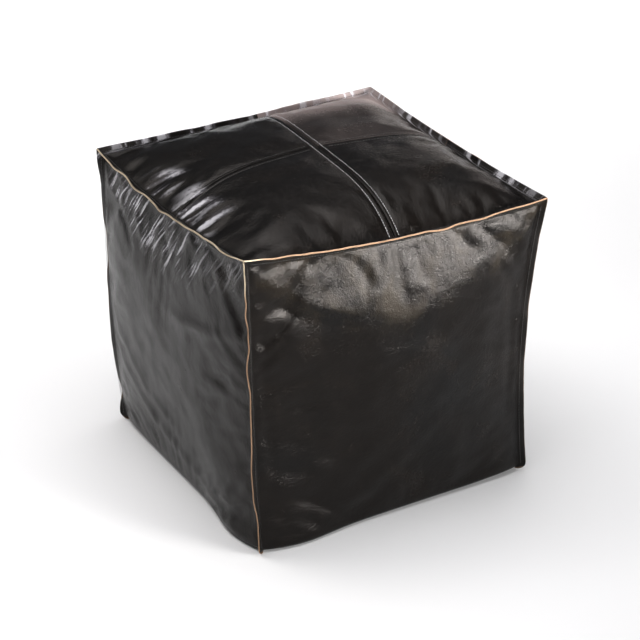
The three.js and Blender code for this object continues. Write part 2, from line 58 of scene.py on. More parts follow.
# %% Place the camera
camera_data = bpy.data.cameras.new("camera")
camera_data.lens = 118.98
camera_data.sensor_width = 36
camera_data.clip_end = 50
camera = bpy.data.objects.new("camera", camera_data)
camera.location = (-1.3204, -2.2953, 1.5361)
look_at = Vector((-0.018, -0.0405, 0.2237))
camera.rotation_euler = (look_at - camera.location).to_track_quat("-Z", "Y").to_euler()
bpy.context.scene.collection.objects.link(camera)
bpy.context.scene.camera = camera
print("camera stands", round((look_at - camera.location).length, 2), "m away")

# %% [markdown]
# ## Small helpers for modelling
# Blender's operators work on whatever is selected, so each step starts by clearing the
# selection. A finished piece keeps its object at the origin, with its place in its mesh.


# %% Selecting and finishing objects
def clear_selection():
    if bpy.context.object and bpy.context.object.mode != "OBJECT":
        bpy.ops.object.mode_set(mode="OBJECT")
    bpy.ops.object.select_all(action="DESELECT")


def make_active(piece):
    clear_selection()
    piece.select_set(True)
    bpy.context.view_layer.objects.active = piece


def settle(piece):
    """Move an object's place, turn and size into its mesh."""
    make_active(piece)
    bpy.ops.object.transform_apply(location=True, rotation=True, scale=True)
    return piece


def apply_modifiers(piece):
    make_active(piece)
    for modifier in list(piece.modifiers):
        bpy.ops.object.modifier_apply(modifier=modifier.name)


def mesh_piece(name, points, faces):
    """A new object from a grid or list of points, and its faces."""
    mesh = bpy.data.meshes.new(name)
    corners = [[int(corner) for corner in face] for face in faces]
    mesh.from_pydata(np.reshape(points, (-1, 3)).tolist(), [], corners)
    mesh.update()
    piece = bpy.data.objects.new(name, mesh)
    bpy.context.scene.collection.objects.link(piece)
    return piece


def grid_faces(rows, columns):
    corner = np.arange((rows - 1) * columns).reshape(rows - 1, columns)[:, :-1].ravel()
    return np.stack([corner, corner + 1, corner + columns + 1, corner + columns], axis=1)


def shade_smooth(piece):
    piece.data.polygons.foreach_set("use_smooth", [True] * len(piece.data.polygons))


# %% [markdown]
# ## Irregularity that repeats exactly
# Hand-sewn leather is never even. Smooth random curves and fields, always started from
# the same seed, give edges that wander and skin that puckers in the same way each run.


# %% Smooth random curves and fields
def wander(along, pitch, seed):
    """A smooth random curve between about -1 and 1 that changes every pitch metres."""
    knots = np.random.default_rng(seed).uniform(-1, 1, 256)
    place = np.asarray(along, float) / pitch + 100
    whole = np.floor(place).astype(int)
    part = place - whole
    a, b, c, d = (knots[(whole + step) % 256] for step in (-1, 0, 1, 2))
    return b + 0.5 * part * (c - a + part * (2 * a - 5 * b + 4 * c - d + part * (3 * (b - c) + d - a)))


def field(x, y, pitch_x, pitch_y, seed):
    """A smooth random height over a surface, with its own pitch in each direction."""
    knots = np.random.default_rng(seed).uniform(-1, 1, (128, 128))
    place_x, place_y = x / pitch_x + 60, y / pitch_y + 60
    whole_x, whole_y = np.floor(place_x).astype(int), np.floor(place_y).astype(int)
    part_x, part_y = place_x - whole_x, place_y - whole_y
    ease_x = part_x ** 2 * (3 - 2 * part_x)
    ease_y = part_y ** 2 * (3 - 2 * part_y)

    def between(row):
        left, right = knots[row % 128, whole_x % 128], knots[row % 128, (whole_x + 1) % 128]
        return left * (1 - ease_x) + right * ease_x

    return between(whole_y) * (1 - ease_y) + between(whole_y + 1) * ease_y


def ease(value, start, end):
    """0 before start, 1 after end and a smooth step between them."""
    share = np.clip((value - start) / (end - start), 0, 1)
    return share * share * (3 - 2 * share)


sample = wander(np.linspace(0, 1, 200), 0.02, 1)
print("wander goes from", sample.min().round(2), "to", sample.max().round(2))

# %% [markdown]
# ## The cut pieces and the pillow shape
# Every piece is first laid out on a plain box, the way the pattern pieces meet when the
# cover is empty. One function then does what the filling does: it swells the sides,
# crowns the seat, lets the top edges sag between their corners and narrows the foot.
# Because all pieces go through the same function, neighbours stay joined at their seams.
# Two things in it give the pouf its look. Under each top seam the side leans out in a
# crescent that faces up and catches the light, and at the floor the filling pushes the
# foot out again.

# %% Sizes of the empty cover, in metres
leather = 0.0016
ply_gap = 0.0003
flange = 0.010
reach = flange / math.sqrt(2)
ply = (ply_gap / 2 + leather) * math.sqrt(2)
root_half = 0.225 - reach - ply / 2
root_height = 0.429 - reach
skived = 0.5
tip_out = reach - skived * ply / 2
tip_stand = reach + skived * ply / 2
foot_radius = 0.008
tuck = 0.014
tuck_rise = 0.003
print("seam lines are", round(2 * root_half, 4), "m apart and", round(root_height, 4), "m up")

# %% How each side has settled
seat_margin = 0.004
waist = 0.05
crown = 0.031
corner_lift = 0.0025
top_sag = {"front": 0.0135, "left": 0.0170, "right": 0.0005, "back": 0.0000}
top_pull = {"front": 0.0080, "left": 0.0030, "right": 0.0068, "back": 0.0040}
crown_edge = {"front": 4, "left": 4, "right": 7, "back": 6}

# Under each top seam the side leans out in a crescent: its slope, and its depth in the middle.
crescent_slope = {"front": 0.34, "left": 0.19, "right": 0.22, "back": 0.22}
crescent_depth = {"front": 0.112, "left": 0.085, "right": 0.100, "back": 0.100}
crescent_slack = {"front": 0.90, "left": 0.10, "right": 0.30, "back": 0.30}
crescent_end = 0.010
belly = {"front": 0.0030, "left": 0.0110, "right": 0.0060, "back": 0.0060}

# At the floor the filling pushes the foot out: everywhere a little, and more near one corner.
foot_push = {"front": (0.0050, 0.0085, -0.70), "left": (0.0040, 0.0120, 0.70),
             "right": (0.0050, 0.0030, -0.60), "back": (0.0050, 0.0040, 0.50)}

# How far each corner seam has moved at the seat, in its middle and at the floor.
corner_drift = {
    (-1, -1): ((-0.0045, 0.0050, 0.0030), (-0.0040, 0.0040, 0), (-0.0010, -0.0065, 0)),
    (1, -1): ((-0.0005, 0, -0.0060), (-0.0040, 0.0040, 0), (0.0048, -0.0010, 0.0040)),
    (1, 1): ((-0.0015, 0.0012, 0.0045), (0, 0, 0), (0, 0, 0)),
    (-1, 1): ((0, 0, -0.0030), (-0.0105, 0.0060, 0), (0.0010, 0, 0)),
}


# %% The pillow shape
def side_value(table, coordinate, low, high):
    return np.where(coordinate < 0, table[low], table[high])


def crescent_reach(face, along):
    """How far the crescent comes down from the top seam, at a share along a side."""
    return crescent_end + crescent_depth[face] * np.clip(1 - along ** 2, 0, None) ** 0.7


def side_swell(face, along, z):
    """How far a side stands out of its corner seams, at a share along it and a height."""
    across = np.clip(1 - along ** 2, 0, None)
    depth = crescent_reach(face, along)
    share = np.clip((root_height - z) / depth, 0, 1)
    crescent = crescent_slope[face] / 2 * (depth - crescent_end) * (1 - (1 - share) ** 2)
    crescent = crescent * (1 - crescent_slack[face] * (1 - ease(along, -0.78, -0.05)))
    swollen = belly[face] * (1 - np.clip(np.abs(along), 0, 1) ** 3.5) * ease(root_height - z, 0, 0.16)
    settled = 1 - np.clip(1 - z / 0.30, 0, None) ** 2
    pull = top_pull[face] * np.clip(z / root_height, 0, None) ** 6 * across
    push, more, where = foot_push[face]
    near_floor = np.clip(1 - z / root_height, 0, None) ** 4 * np.clip(1 - along ** 12, 0, None)
    foot = near_floor * (push + more * np.exp(-((along - where) / 0.28) ** 2))
    return crescent * settled + swollen * settled - pull + foot


def pillow(flat):
    """Where a point of the empty box goes when the cover is stuffed."""
    x, y, z = flat[..., 0], flat[..., 1], flat[..., 2]
    u, v, t = x / root_half, y / root_half, np.clip(z / root_height, 0, None)
    taper = 1 - waist * np.clip(1 - t ** 3, 0, None)
    swell_x = np.where(x < 0, side_swell("left", -v, z), side_swell("right", v, z))
    swell_y = np.where(y < 0, side_swell("front", u, z), side_swell("back", -u, z))
    seat_half = root_half - seat_margin
    dome_x = np.clip(1 - np.abs(x / seat_half) ** side_value(crown_edge, x, "left", "right"), 0, None)
    dome_y = np.clip(1 - np.abs(y / seat_half) ** side_value(crown_edge, y, "front", "back"), 0, None)
    sag_y = (1 - u * u) * v ** 4 * side_value(top_sag, y, "front", "back")
    sag_x = (1 - v * v) * u ** 4 * side_value(top_sag, x, "left", "right")
    lift = corner_lift * np.clip(np.abs(u * v) - 0.62, 0, None) / 0.38 * np.clip(1 - t, 0, None) ** 4
    stuffed = np.stack([
        x * taper + swell_x * u,
        y * taper + swell_y * v,
        z + crown * dome_x * dome_y * t ** 2 - (sag_x + sag_y) * t ** 3 + lift,
    ], axis=-1)
    for (side_x, side_y), (at_top, at_middle, at_foot) in corner_drift.items():
        near = (np.clip(1 + side_x * u, 0, None) * np.clip(1 + side_y * v, 0, None) / 4) ** 2
        stuffed += (near * t ** 3)[..., None] * np.array(at_top)
        stuffed += (near * 4 * t * np.clip(1 - t, 0, None))[..., None] * np.array(at_middle)
        stuffed += (near * np.clip(1 - t, 0, None) ** 4)[..., None] * np.array(at_foot)
    return stuffed


print("middle of the seat is at", pillow(np.array([[0.0, 0.0, root_height]])).round(3).tolist())

# %% [markdown]
# ## The outward-turned edge seams
# Along the edges the two pieces of leather are sewn with their raw edges standing
# outwards, about a centimetre proud of the seam. Handling bends this rim to and fro. The
# same bend is given to both layers, so the rim stays closed.

# %% How the rims lean
faces = {
    "front": (np.array([1, 0, 0]), np.array([0, -1, 0])),
    "right": (np.array([0, 1, 0]), np.array([1, 0, 0])),
    "back": (np.array([-1, 0, 0]), np.array([0, 1, 0])),
    "left": (np.array([0, -1, 0]), np.array([-1, 0, 0])),
}
face_order = list(faces)
up = np.array([0, 0, 1])
rim_sway = {"front": 0.0017, "right": 0.0022, "back": 0.0020, "left": 0.0021}
rim_set = {"front": 0.0, "right": -0.0030, "back": -0.0030, "left": 0.0}
corner_set = {"front": -0.0045, "right": 0.0, "back": 0.0085, "left": 0.0}


def top_rim_lean(face, along):
    """How far the tip of a top rim leans outwards, at a place along its face."""
    seed = 10 * face_order.index(face)
    calm = 1 - np.clip(np.abs(along) / root_half, 0, 1) ** 8
    lean = wander(along, 0.034, seed + 1) + 0.5 * wander(along, 0.014, seed + 2)
    return (rim_set[face] + rim_sway[face] * lean) * calm


def leaned(lean, rim):
    """How far a rim has leaned, each way, at a share of its reach."""
    return lean * rim ** 1.4 / math.sqrt(2)


def upright(lean):
    """What is left of a rim's reach when its tip leans by this much."""
    return np.sqrt(1 - np.clip(lean / flange, -0.95, 0.95) ** 2)


def corner_rim_lean(face, height):
    """How far the rim at the right-hand end of a face leans off its own diagonal."""
    seed = 10 * face_order.index(face)
    calm = ease(height, 0.0, 0.04) * (1 - ease(height, root_height - 0.06, root_height))
    lean = wander(height, 0.045, seed + 3) + 0.5 * wander(height, 0.016, seed + 4)
    return (corner_set[face] + 0.0020 * lean) * calm


sample = top_rim_lean("left", np.linspace(-0.2, 0.2, 99))
print("the left rim leans by up to", float(np.abs(sample).max().round(4)), "m")

# %% [markdown]
# ## Stations of a side panel
# A side panel runs from the base seam, round the foot, up the wall and out along the rim.
# Its rows and columns are listed: wide apart in the open, and close together
# where the leather turns sharply into a seam.

# %% Rows and columns of a side panel
wall_top = root_height - ply
rim_shares = [0.18, 0.45, 0.75, 1.0]
turn_in = [0.0012, 0.0028, 0.0050, 0.0080]
open_inset = 0.011
cell = 0.0058
roll_steps = 6


def side_rows():
    """Each row is (out from the middle, height, facing down in radians, share of the rim)."""
    foot = root_half - foot_radius
    rows = [(foot - tuck, tuck_rise, math.pi / 2, 0), (foot - tuck * 0.75, 0.0008, math.pi / 2, 0),
            (foot - tuck / 2, 0, math.pi / 2, 0)]
    for step in range(roll_steps, 0, -1):
        angle = step / roll_steps * math.pi / 2
        rows.append((foot + foot_radius * math.cos(angle), foot_radius * (1 - math.sin(angle)), angle, 0))
    open_top = wall_top - open_inset
    open_wall = np.linspace(foot_radius, open_top, int((open_top - foot_radius) / cell) + 1)
    rows += [(root_half, height, 0, 0) for height in open_wall]
    rows += [(root_half, wall_top - inset, 0, 0) for inset in reversed(turn_in)]
    rows.append((root_half, wall_top, 0, 0))
    rows += [(root_half, root_height + tip_out * rim - ply * (1 - rim), 0, rim) for rim in rim_shares]
    return np.array(rows)


def side_columns():
    """Each column is (share of the way across, share of the rim)."""
    half = root_half - ply
    middle = np.linspace(0, half - open_inset, int((half - open_inset) / cell) + 1) / half
    right = list(middle) + [1 - inset / half for inset in reversed(turn_in)] + [1.0]
    right = [(share, 0) for share in right] + [(1.0, share) for share in rim_shares]
    left = [(-share, rim) for share, rim in reversed(right[1:])]
    return np.array(left + right)


rows_of_side, columns_of_side = side_rows(), side_columns()
print("a side has", len(rows_of_side), "rows and", len(columns_of_side), "columns")


# %% Lay a side out on the box
def side_flat(face, rows, columns):
    """Box points of a side panel's outer surface, rims included."""
    across_way, out_way = faces[face]
    station_out, height, facing, row_rim = (rows[:, k][:, None] for k in range(4))
    share, column_rim = columns[:, 0][None, :], columns[:, 1][None, :]
    side = np.sign(share)
    previous = face_order[face_order.index(face) - 1]
    lean_at_right, lean_at_left = corner_rim_lean(face, height), corner_rim_lean(previous, height)
    kept = np.maximum(0.05, np.cos(facing))
    kept = kept * np.where(side > 0, upright(lean_at_right), upright(lean_at_left))
    stand = np.maximum(tip_stand * column_rim * kept, tip_stand * row_rim)
    out = station_out + stand * np.cos(facing)
    across = share * (station_out - ply) + side * (tip_out * kept + ply) * column_rim
    level = height - stand * np.sin(facing)
    lean = leaned(top_rim_lean(face, across), row_rim)
    out, level = out + lean, level - lean
    right_lean = leaned(lean_at_right, column_rim) * (side > 0)
    left_lean = leaned(lean_at_left, column_rim) * (side < 0)
    across = across - right_lean - left_lean
    out = out + right_lean - left_lean
    return across[..., None] * across_way + out[..., None] * out_way + level[..., None] * up


# %% [markdown]
# ## Stations of a seat quarter
# The seat is four quarters that meet in a cross. The long seam runs a little askew, as
# it does on hand-cut leather. Close to the cross seams the leather dives into the seam,
# lies in a flat band over its turned-under edge and is pinched by the topstitching.

# %% Rows and columns of a seat quarter
crossing = np.array([0.015, 0.025])
seam_ends = {"front": np.array([0.0, -root_half]), "back": np.array([0.027, root_half]),
             "left": np.array([-root_half, 0.0]), "right": np.array([root_half, 0.0])}
stitch_offset = 0.0068
seam_gap = 0.00015
near_seam = [0, 0.0003, 0.0008, 0.0016, 0.0028, 0.0042, 0.0055, 0.0062,
             stitch_offset, 0.0074, 0.0082, 0.0095, 0.0115, 0.0145]


def seat_stations():
    """Each station is (share of the way from the seam to the edge, share of the rim)."""
    start, end = near_seam[-1] + cell, root_half - ply - open_inset
    middle = np.linspace(start, end, int((end - start) / cell) + 1)
    edge = [root_half - ply - inset for inset in reversed(turn_in)] + [root_half - ply]
    shares = [distance / (root_half - ply) for distance in [*near_seam, *middle, *edge]]
    return np.array([(share, 0) for share in shares] + [(1.0, rim) for rim in rim_shares])


stations_of_seat = seat_stations()


def seat_place(side_x, side_y, p, q):
    """Place on the seat at shares p and q of the way from the cross seams to the edges."""
    end_x = seam_ends["left" if side_x < 0 else "right"]
    end_y = seam_ends["front" if side_y < 0 else "back"]
    corner = np.array([side_x, side_y]) * root_half
    p, q = p[..., None], q[..., None]
    return (crossing * (1 - p) + end_x * p) * (1 - q) + (end_y * (1 - p) + corner * p) * q


def seat_flat(side_x, side_y, rows, columns):
    """Box points of a seat quarter's outer surface, rims included."""
    p, q = np.meshgrid(columns[:, 0], rows[:, 0])
    rim_x, rim_y = np.meshgrid(columns[:, 1], rows[:, 1])
    place = seat_place(side_x, side_y, p, q)
    x = place[..., 0] + side_x * (seam_gap * (1 - p) - ply * p + (tip_out + ply) * rim_x)
    y = place[..., 1] + side_y * (seam_gap * (1 - q) - ply * q + (tip_out + ply) * rim_y)
    z = root_height + tip_stand * np.maximum(rim_x, rim_y)
    face_x, face_y = ("left" if side_x < 0 else "right"), ("front" if side_y < 0 else "back")
    lean_x = leaned(top_rim_lean(face_x, y * faces[face_x][0][1]), rim_x)
    lean_y = leaned(top_rim_lean(face_y, x * faces[face_y][0][0]), rim_y)
    return np.stack([x + side_x * lean_x, y + side_y * lean_y, z - lean_x - lean_y], axis=-1)


quarters = {"front_left": (-1, -1), "front_right": (1, -1), "back_left": (-1, 1), "back_right": (1, 1)}
print("a seat quarter has", len(stations_of_seat), "stations each way")

# %% [markdown]
# ## Letting the leather relax
# Real leather was cut a little too large, so between its seams it buckles into soft
# folds. A short cloth simulation finds them: a plain grid of each panel is held along its
# seams, pushed outwards by pressure and allowed a few per cent of slack. Only the folds
# are kept from the result. The overall shape stays that of the pillow function.

# %% Grids for the simulation
sim_cell = 0.0065


def evenly(start, end, step):
    return np.linspace(start, end, int(round((end - start) / step)) + 1)


def sim_grids():
    """A plain grid of points for each panel."""
    grids = {}
    wall = evenly(foot_radius, wall_top, sim_cell)
    rows = np.array([(root_half, height, 0, 0) for height in wall])
    shares = evenly(-1, 1, sim_cell / root_half)
    columns = np.stack([shares, 0 * shares], axis=1)
    for face in faces:
        grids[f"side_{face}"] = pillow(side_flat(face, rows, columns))
    start = stitch_offset / (root_half - ply)
    shares = evenly(start, 1, sim_cell / root_half)
    stations = np.stack([shares, 0 * shares], axis=1)
    for quarter, (side_x, side_y) in quarters.items():
        points = pillow(seat_flat(side_x, side_y, stations, stations))
        grids[f"seat_{quarter}"] = points if side_x * side_y > 0 else points[:, ::-1]
    return grids


# %% Run the cloth simulation
def relax(grids):
    """Returns how far each grid's points move when the leather relaxes."""
    points, polygons, held, slack, start = [], [], [], [], 0
    for grid in grids.values():
        rows, columns = grid.shape[:2]
        points.append(grid.reshape(-1, 3))
        polygons.append(grid_faces(rows, columns) + start)
        place = np.arange(rows * columns).reshape(rows, columns)
        rim = np.concatenate([place[0], place[-1], place[:, 0], place[:, -1]])
        held.append(rim + start)
        depth_r = np.minimum(np.arange(rows), np.arange(rows)[::-1])[:, None]
        depth_c = np.minimum(np.arange(columns), np.arange(columns)[::-1])[None, :]
        slack.append(np.exp(-np.minimum(depth_r, depth_c) / 4).ravel())
        start += rows * columns
    sheet = mesh_piece("relaxing_leather", np.concatenate(points), np.concatenate(polygons))
    held_group = sheet.vertex_groups.new(name="held")
    held_group.add(np.concatenate(held).tolist(), 1.0, "REPLACE")
    slack_group = sheet.vertex_groups.new(name="slack")
    for index, weight in enumerate(np.concatenate(slack).tolist()):
        slack_group.add([index], weight, "REPLACE")
    cloth = sheet.modifiers.new("cloth", "CLOTH")
    settings = cloth.settings
    settings.quality = 5
    settings.mass = 0.25
    settings.air_damping = 2
    settings.tension_stiffness = settings.compression_stiffness = 25
    settings.shear_stiffness = 12
    settings.bending_stiffness = 0.6
    settings.use_pressure = True
    settings.uniform_pressure_force = 4
    settings.vertex_group_mass = "held"
    settings.vertex_group_shrink = "slack"
    settings.shrink_min = -0.010
    settings.shrink_max = -0.045
    settings.effector_weights.gravity = 0
    cloth.collision_settings.use_collision = False
    for step in range(1, 21):
        bpy.context.scene.frame_set(step)
    make_active(sheet)
    bpy.ops.object.modifier_apply(modifier="cloth")
    relaxed = np.zeros(start * 3)
    sheet.data.vertices.foreach_get("co", relaxed)
    relaxed = relaxed.reshape(-1, 3)
    bpy.context.scene.frame_set(1)
    bpy.data.objects.remove(sheet)
    moves, start = {}, 0
    for name, grid in grids.items():
        count = grid.shape[0] * grid.shape[1]
        moves[name] = relaxed[start:start + count].reshape(grid.shape) - grid
        start += count
    return moves


# %% Keep the folds and not the swelling
fold_cap = 0.008


def blurred(values, reach_cells):
    """A running average in both directions, with the edge repeated."""
    kernel = np.exp(-0.5 * (np.arange(-2 * reach_cells, 2 * reach_cells + 1) / reach_cells) ** 2)
    kernel /= kernel.sum()
    for axis in (0, 1):
        margins = [(2 * reach_cells,) * 2 if k == axis else (0, 0) for k in range(3)]
        wide = np.pad(values, margins, mode="reflect", reflect_type="odd")
        run = np.arange(values.shape[axis])
        values = sum(weight * np.take(wide, run + k, axis=axis) for k, weight in enumerate(kernel))
    return values


def only_folds(move):
    folds = move - 0.85 * blurred(move, 8)
    length = np.linalg.norm(folds, axis=-1, keepdims=True)
    return folds * np.minimum(1, fold_cap / np.maximum(length, 1e-9))


leather_folds = {}
for panel, move in relax(sim_grids()).items():
    leather_folds[panel] = only_folds(move)
    print(panel, "moved by up to", round(float(np.abs(move).max()), 4),
          "m, folds up to", round(float(np.abs(leather_folds[panel]).max()), 4), "m")


# %% Read the folds at any place on a panel
def cubic_weights(places, count):
    """Weights that read a row of evenly spaced values at fractional places."""
    places = np.clip(places, 0, count - 1)
    whole = np.minimum(np.floor(places).astype(int), count - 2)
    part = places - whole
    weights = np.zeros((len(places), count))
    shape = [(-0.5 * part + part ** 2 - 0.5 * part ** 3), (1 - 2.5 * part ** 2 + 1.5 * part ** 3),
             (0.5 * part + 2 * part ** 2 - 1.5 * part ** 3), (-0.5 * part ** 2 + 0.5 * part ** 3)]
    for step, values in zip((-1, 0, 1, 2), shape):
        np.add.at(weights, (np.arange(len(places)), np.clip(whole + step, 0, count - 1)), values)
    return weights


def read_folds(panel, row_shares, column_shares):
    """Folds of a panel at shares of its height and width, 0 outside the simulated part."""
    if panel not in leather_folds:
        return np.zeros((len(row_shares), len(column_shares), 3))
    folds = leather_folds[panel]
    by_row = cubic_weights(row_shares * (folds.shape[0] - 1), folds.shape[0])
    by_column = cubic_weights(column_shares * (folds.shape[1] - 1), folds.shape[1])
    row_inside = (row_shares >= 0) & (row_shares <= 1)
    column_inside = (column_shares >= 0) & (column_shares <= 1)
    inside = row_inside[:, None] & column_inside[None]
    return np.einsum("ri,ijk,cj->rck", by_row, folds, by_column) * inside[..., None]


# %% [markdown]
# ## Folds given one by one
# Some folds are too important to leave to chance: the pinch under a corner, the ridge
# that runs down from it and the dimples where the filling has settled. Each is a short
# line on its panel with a width and a height, pressed into the surface like a thumb.


# %% Press folds into a surface
def fold_relief(x, y, folds):
    """Height of a list of folds. A fold is (points of its line, width, height)."""
    relief = np.zeros_like(x)
    for line, width, height in folds:
        nearest = np.full_like(x, 9.0)
        progress = np.zeros_like(x)
        lengths = [math.dist(a, b) for a, b in zip(line[:-1], line[1:])]
        done = 0
        for (ax, ay), (bx, by), length in zip(line[:-1], line[1:], lengths):
            t = np.clip(((x - ax) * (bx - ax) + (y - ay) * (by - ay)) / length ** 2, 0, 1)
            distance = np.hypot(x - ax - t * (bx - ax), y - ay - t * (by - ay))
            closer = distance < nearest
            nearest = np.where(closer, distance, nearest)
            progress = np.where(closer, (done + t * length) / sum(lengths), progress)
            done += length
        swell = 0.45 + 0.55 * np.sin(math.pi * np.clip(progress, 0.02, 0.98))
        relief += height * swell * np.exp(-(nearest / width) ** 2)
    return relief


# %% The folds of each side, as (across, height) on the panel
side_folds = {
    "front": [
        ([(-0.215, 0.412), (-0.172, 0.380), (-0.123, 0.350), (-0.070, 0.332)], 0.011, 0.0026),
        ([(-0.200, 0.370), (-0.160, 0.350), (-0.120, 0.322)], 0.010, -0.0016),
        ([(-0.070, 0.412), (-0.056, 0.392), (-0.044, 0.365)], 0.006, -0.0018),
        ([(-0.052, 0.412), (-0.034, 0.386), (-0.024, 0.365)], 0.007, 0.0010),
        ([(-0.006, 0.405), (0.000, 0.375), (0.004, 0.341)], 0.006, -0.0016),
        ([(0.205, 0.405), (0.181, 0.368), (0.150, 0.340)], 0.009, -0.0022),
        ([(0.150, 0.390), (0.120, 0.360), (0.080, 0.338)], 0.012, 0.0018),
        ([(-0.176, 0.086), (-0.100, 0.098), (0.010, 0.120)], 0.014, 0.0015),
        ([(-0.123, 0.020), (-0.014, 0.076), (0.080, 0.142)], 0.014, 0.0015),
        ([(0.190, 0.300), (0.197, 0.200), (0.194, 0.090)], 0.008, -0.0018),
        ([(-0.196, 0.330), (-0.199, 0.220), (-0.192, 0.110)], 0.007, -0.0016),
        ([(-0.160, 0.300), (-0.120, 0.230), (-0.100, 0.160)], 0.020, 0.0014),
    ],
    "left": [
        ([(0.002, 0.280), (0.054, 0.284), (0.126, 0.296), (0.195, 0.312)], 0.010, 0.0034),
        ([(0.168, 0.362), (0.201, 0.329)], 0.007, -0.0036),
        ([(0.089, 0.185), (0.140, 0.198), (0.191, 0.219)], 0.007, -0.0028),
        ([(0.115, 0.225), (0.170, 0.236)], 0.006, -0.0020),
        ([(0.120, 0.028), (0.170, 0.040), (0.205, 0.056)], 0.009, -0.0034),
        ([(0.150, 0.012), (0.205, 0.026)], 0.009, 0.0024),
        ([(-0.181, 0.130), (-0.071, 0.068), (0.110, 0.026)], 0.010, 0.0020),
        ([(-0.190, 0.175), (-0.090, 0.110), (0.080, 0.062)], 0.011, 0.0014),
        ([(-0.190, 0.398), (-0.163, 0.373), (-0.132, 0.355), (-0.107, 0.326)], 0.005, -0.0024),
        ([(-0.120, 0.400), (-0.095, 0.372), (-0.070, 0.345)], 0.006, 0.0018),
        ([(-0.030, 0.404), (-0.010, 0.375), (0.004, 0.350)], 0.006, -0.0018),
        ([(0.080, 0.400), (0.100, 0.372), (0.112, 0.352)], 0.006, 0.0018),
    ],
    "right": [
        ([(-0.200, 0.400), (-0.150, 0.360), (-0.090, 0.345)], 0.012, 0.0028),
        ([(0.205, 0.400), (0.170, 0.362), (0.130, 0.340)], 0.009, -0.0030),
        ([(0.010, 0.404), (0.022, 0.372), (0.014, 0.340)], 0.007, -0.0024),
        ([(-0.150, 0.060), (-0.040, 0.085), (0.080, 0.130)], 0.014, 0.0022),
        ([(-0.196, 0.300), (-0.200, 0.200), (-0.193, 0.100)], 0.008, -0.0018),
    ],
    "back": [
        ([(-0.205, 0.402), (-0.165, 0.366), (-0.120, 0.346)], 0.010, -0.0030),
        ([(0.200, 0.404), (0.150, 0.372), (0.095, 0.352)], 0.012, 0.0028),
        ([(-0.040, 0.408), (-0.030, 0.378), (-0.038, 0.350)], 0.007, -0.0024),
        ([(-0.100, 0.150), (0.010, 0.118), (0.120, 0.060)], 0.014, 0.0024),
        ([(0.197, 0.310), (0.200, 0.210), (0.194, 0.110)], 0.008, -0.0018),
    ],
}


# %% Puckers along a seam
def puckers(along, distance, pitch, seed, depth=0.055, height=0.0011):
    """Gathers that run away from a seam, tall beside it and gone after depth metres."""
    gather = wander(along, pitch, seed) + 0.5 * wander(along + 0.3 * distance, pitch * 0.45, seed + 1)
    rise = ease(distance, 0.0, 0.009) * (1 - ease(distance, 0.012, depth))
    return height * gather * rise


sample = fold_relief(np.array([0.126]), np.array([0.296]), side_folds["left"])[0]
print("fold height beside the left corner seam:", round(float(sample), 4), "m")


# %% [markdown]
# ## From stations to finished leather
# A panel's points are pushed out along the surface by its relief. The finished grid gets
# one level of subdivision and a wall as thick as the leather. The wall's rim is the raw
# cut edge, which is undyed, so it gets a finish of its own, and so does the flesh side.

# %% Surface directions and panel values
def outward(points):
    """Unit directions that stand on a grid of points."""
    normal = np.cross(np.gradient(points, axis=1), np.gradient(points, axis=0))
    return normal / np.maximum(np.linalg.norm(normal, axis=-1, keepdims=True), 1e-12)


def set_values(mesh, name, values):
    attribute = mesh.attributes.new(name, "FLOAT", "POINT")
    attribute.data.foreach_set("value", np.asarray(values, np.float32).ravel())


def set_map(mesh, name, u, v):
    layer = mesh.uv_layers.new(name=name)
    corner = np.zeros(len(mesh.loops), int)
    mesh.loops.foreach_get("vertex_index", corner)
    pairs = np.stack([u.ravel()[corner], v.ravel()[corner]], axis=1)
    layer.data.foreach_set("uv", pairs.astype(np.float32).ravel())


def leather_panel(name, points, flip, rim, values, maps):
    """A finished panel: its grid subdivided, thickened inwards and shaded smooth."""
    rows, columns = points.shape[:2]
    polygons = grid_faces(rows, columns)
    piece = mesh_piece(name, points, polygons[:, ::-1] if flip else polygons)
    for key, value in {**values, "rim": np.minimum(1, 4 * rim)}.items():
        set_values(piece.data, key, np.broadcast_to(value, (rows, columns)))
    for key, (u, v) in maps.items():
        set_map(piece.data, key, *np.broadcast_arrays(u, v))
    thickness = piece.vertex_groups.new(name="thickness")
    rim = np.broadcast_to(rim, (rows, columns)).ravel()
    for share in np.unique(rim):
        thickness.add(np.flatnonzero(rim == share).tolist(), 1 - (1 - skived) * share, "REPLACE")
    for finish in (leather_finish, raw_edge_finish, suede_finish):
        piece.data.materials.append(finish)
    finer = piece.modifiers.new("finer", "SUBSURF")
    finer.levels = finer.render_levels = 1
    finer.boundary_smooth = "PRESERVE_CORNERS"
    wall = piece.modifiers.new("wall", "SOLIDIFY")
    wall.thickness = leather
    wall.offset = -1
    wall.vertex_group = "thickness"
    wall.material_offset = 2
    wall.material_offset_rim = 1
    apply_modifiers(piece)
    clear_selection()
    shade_smooth(piece)
    return piece


# %% [markdown]
# ## Writing finishes as sums
# A finish is a small network of nodes. Written node by node it is hard to read, so a
# socket is wrapped in a class that turns sums in Python into Math nodes, and one method
# makes every other kind of node.


# %% Sockets that add up
class Wire:
    """An output socket that adds Math nodes when it is used in a sum."""

    def __init__(self, finish, socket):
        self.finish = finish
        self.socket = socket

    def maths(self, operation, *values):
        return self.finish.node("ShaderNodeMath", {"operation": operation}, dict(enumerate(values)))

    def __add__(self, other):
        return self.maths("ADD", self, other)

    def __sub__(self, other):
        return self.maths("SUBTRACT", self, other)

    def __mul__(self, other):
        return self.maths("MULTIPLY", self, other)

    def __rsub__(self, other):
        return self.maths("SUBTRACT", other, self)

    __radd__ = __add__
    __rmul__ = __mul__


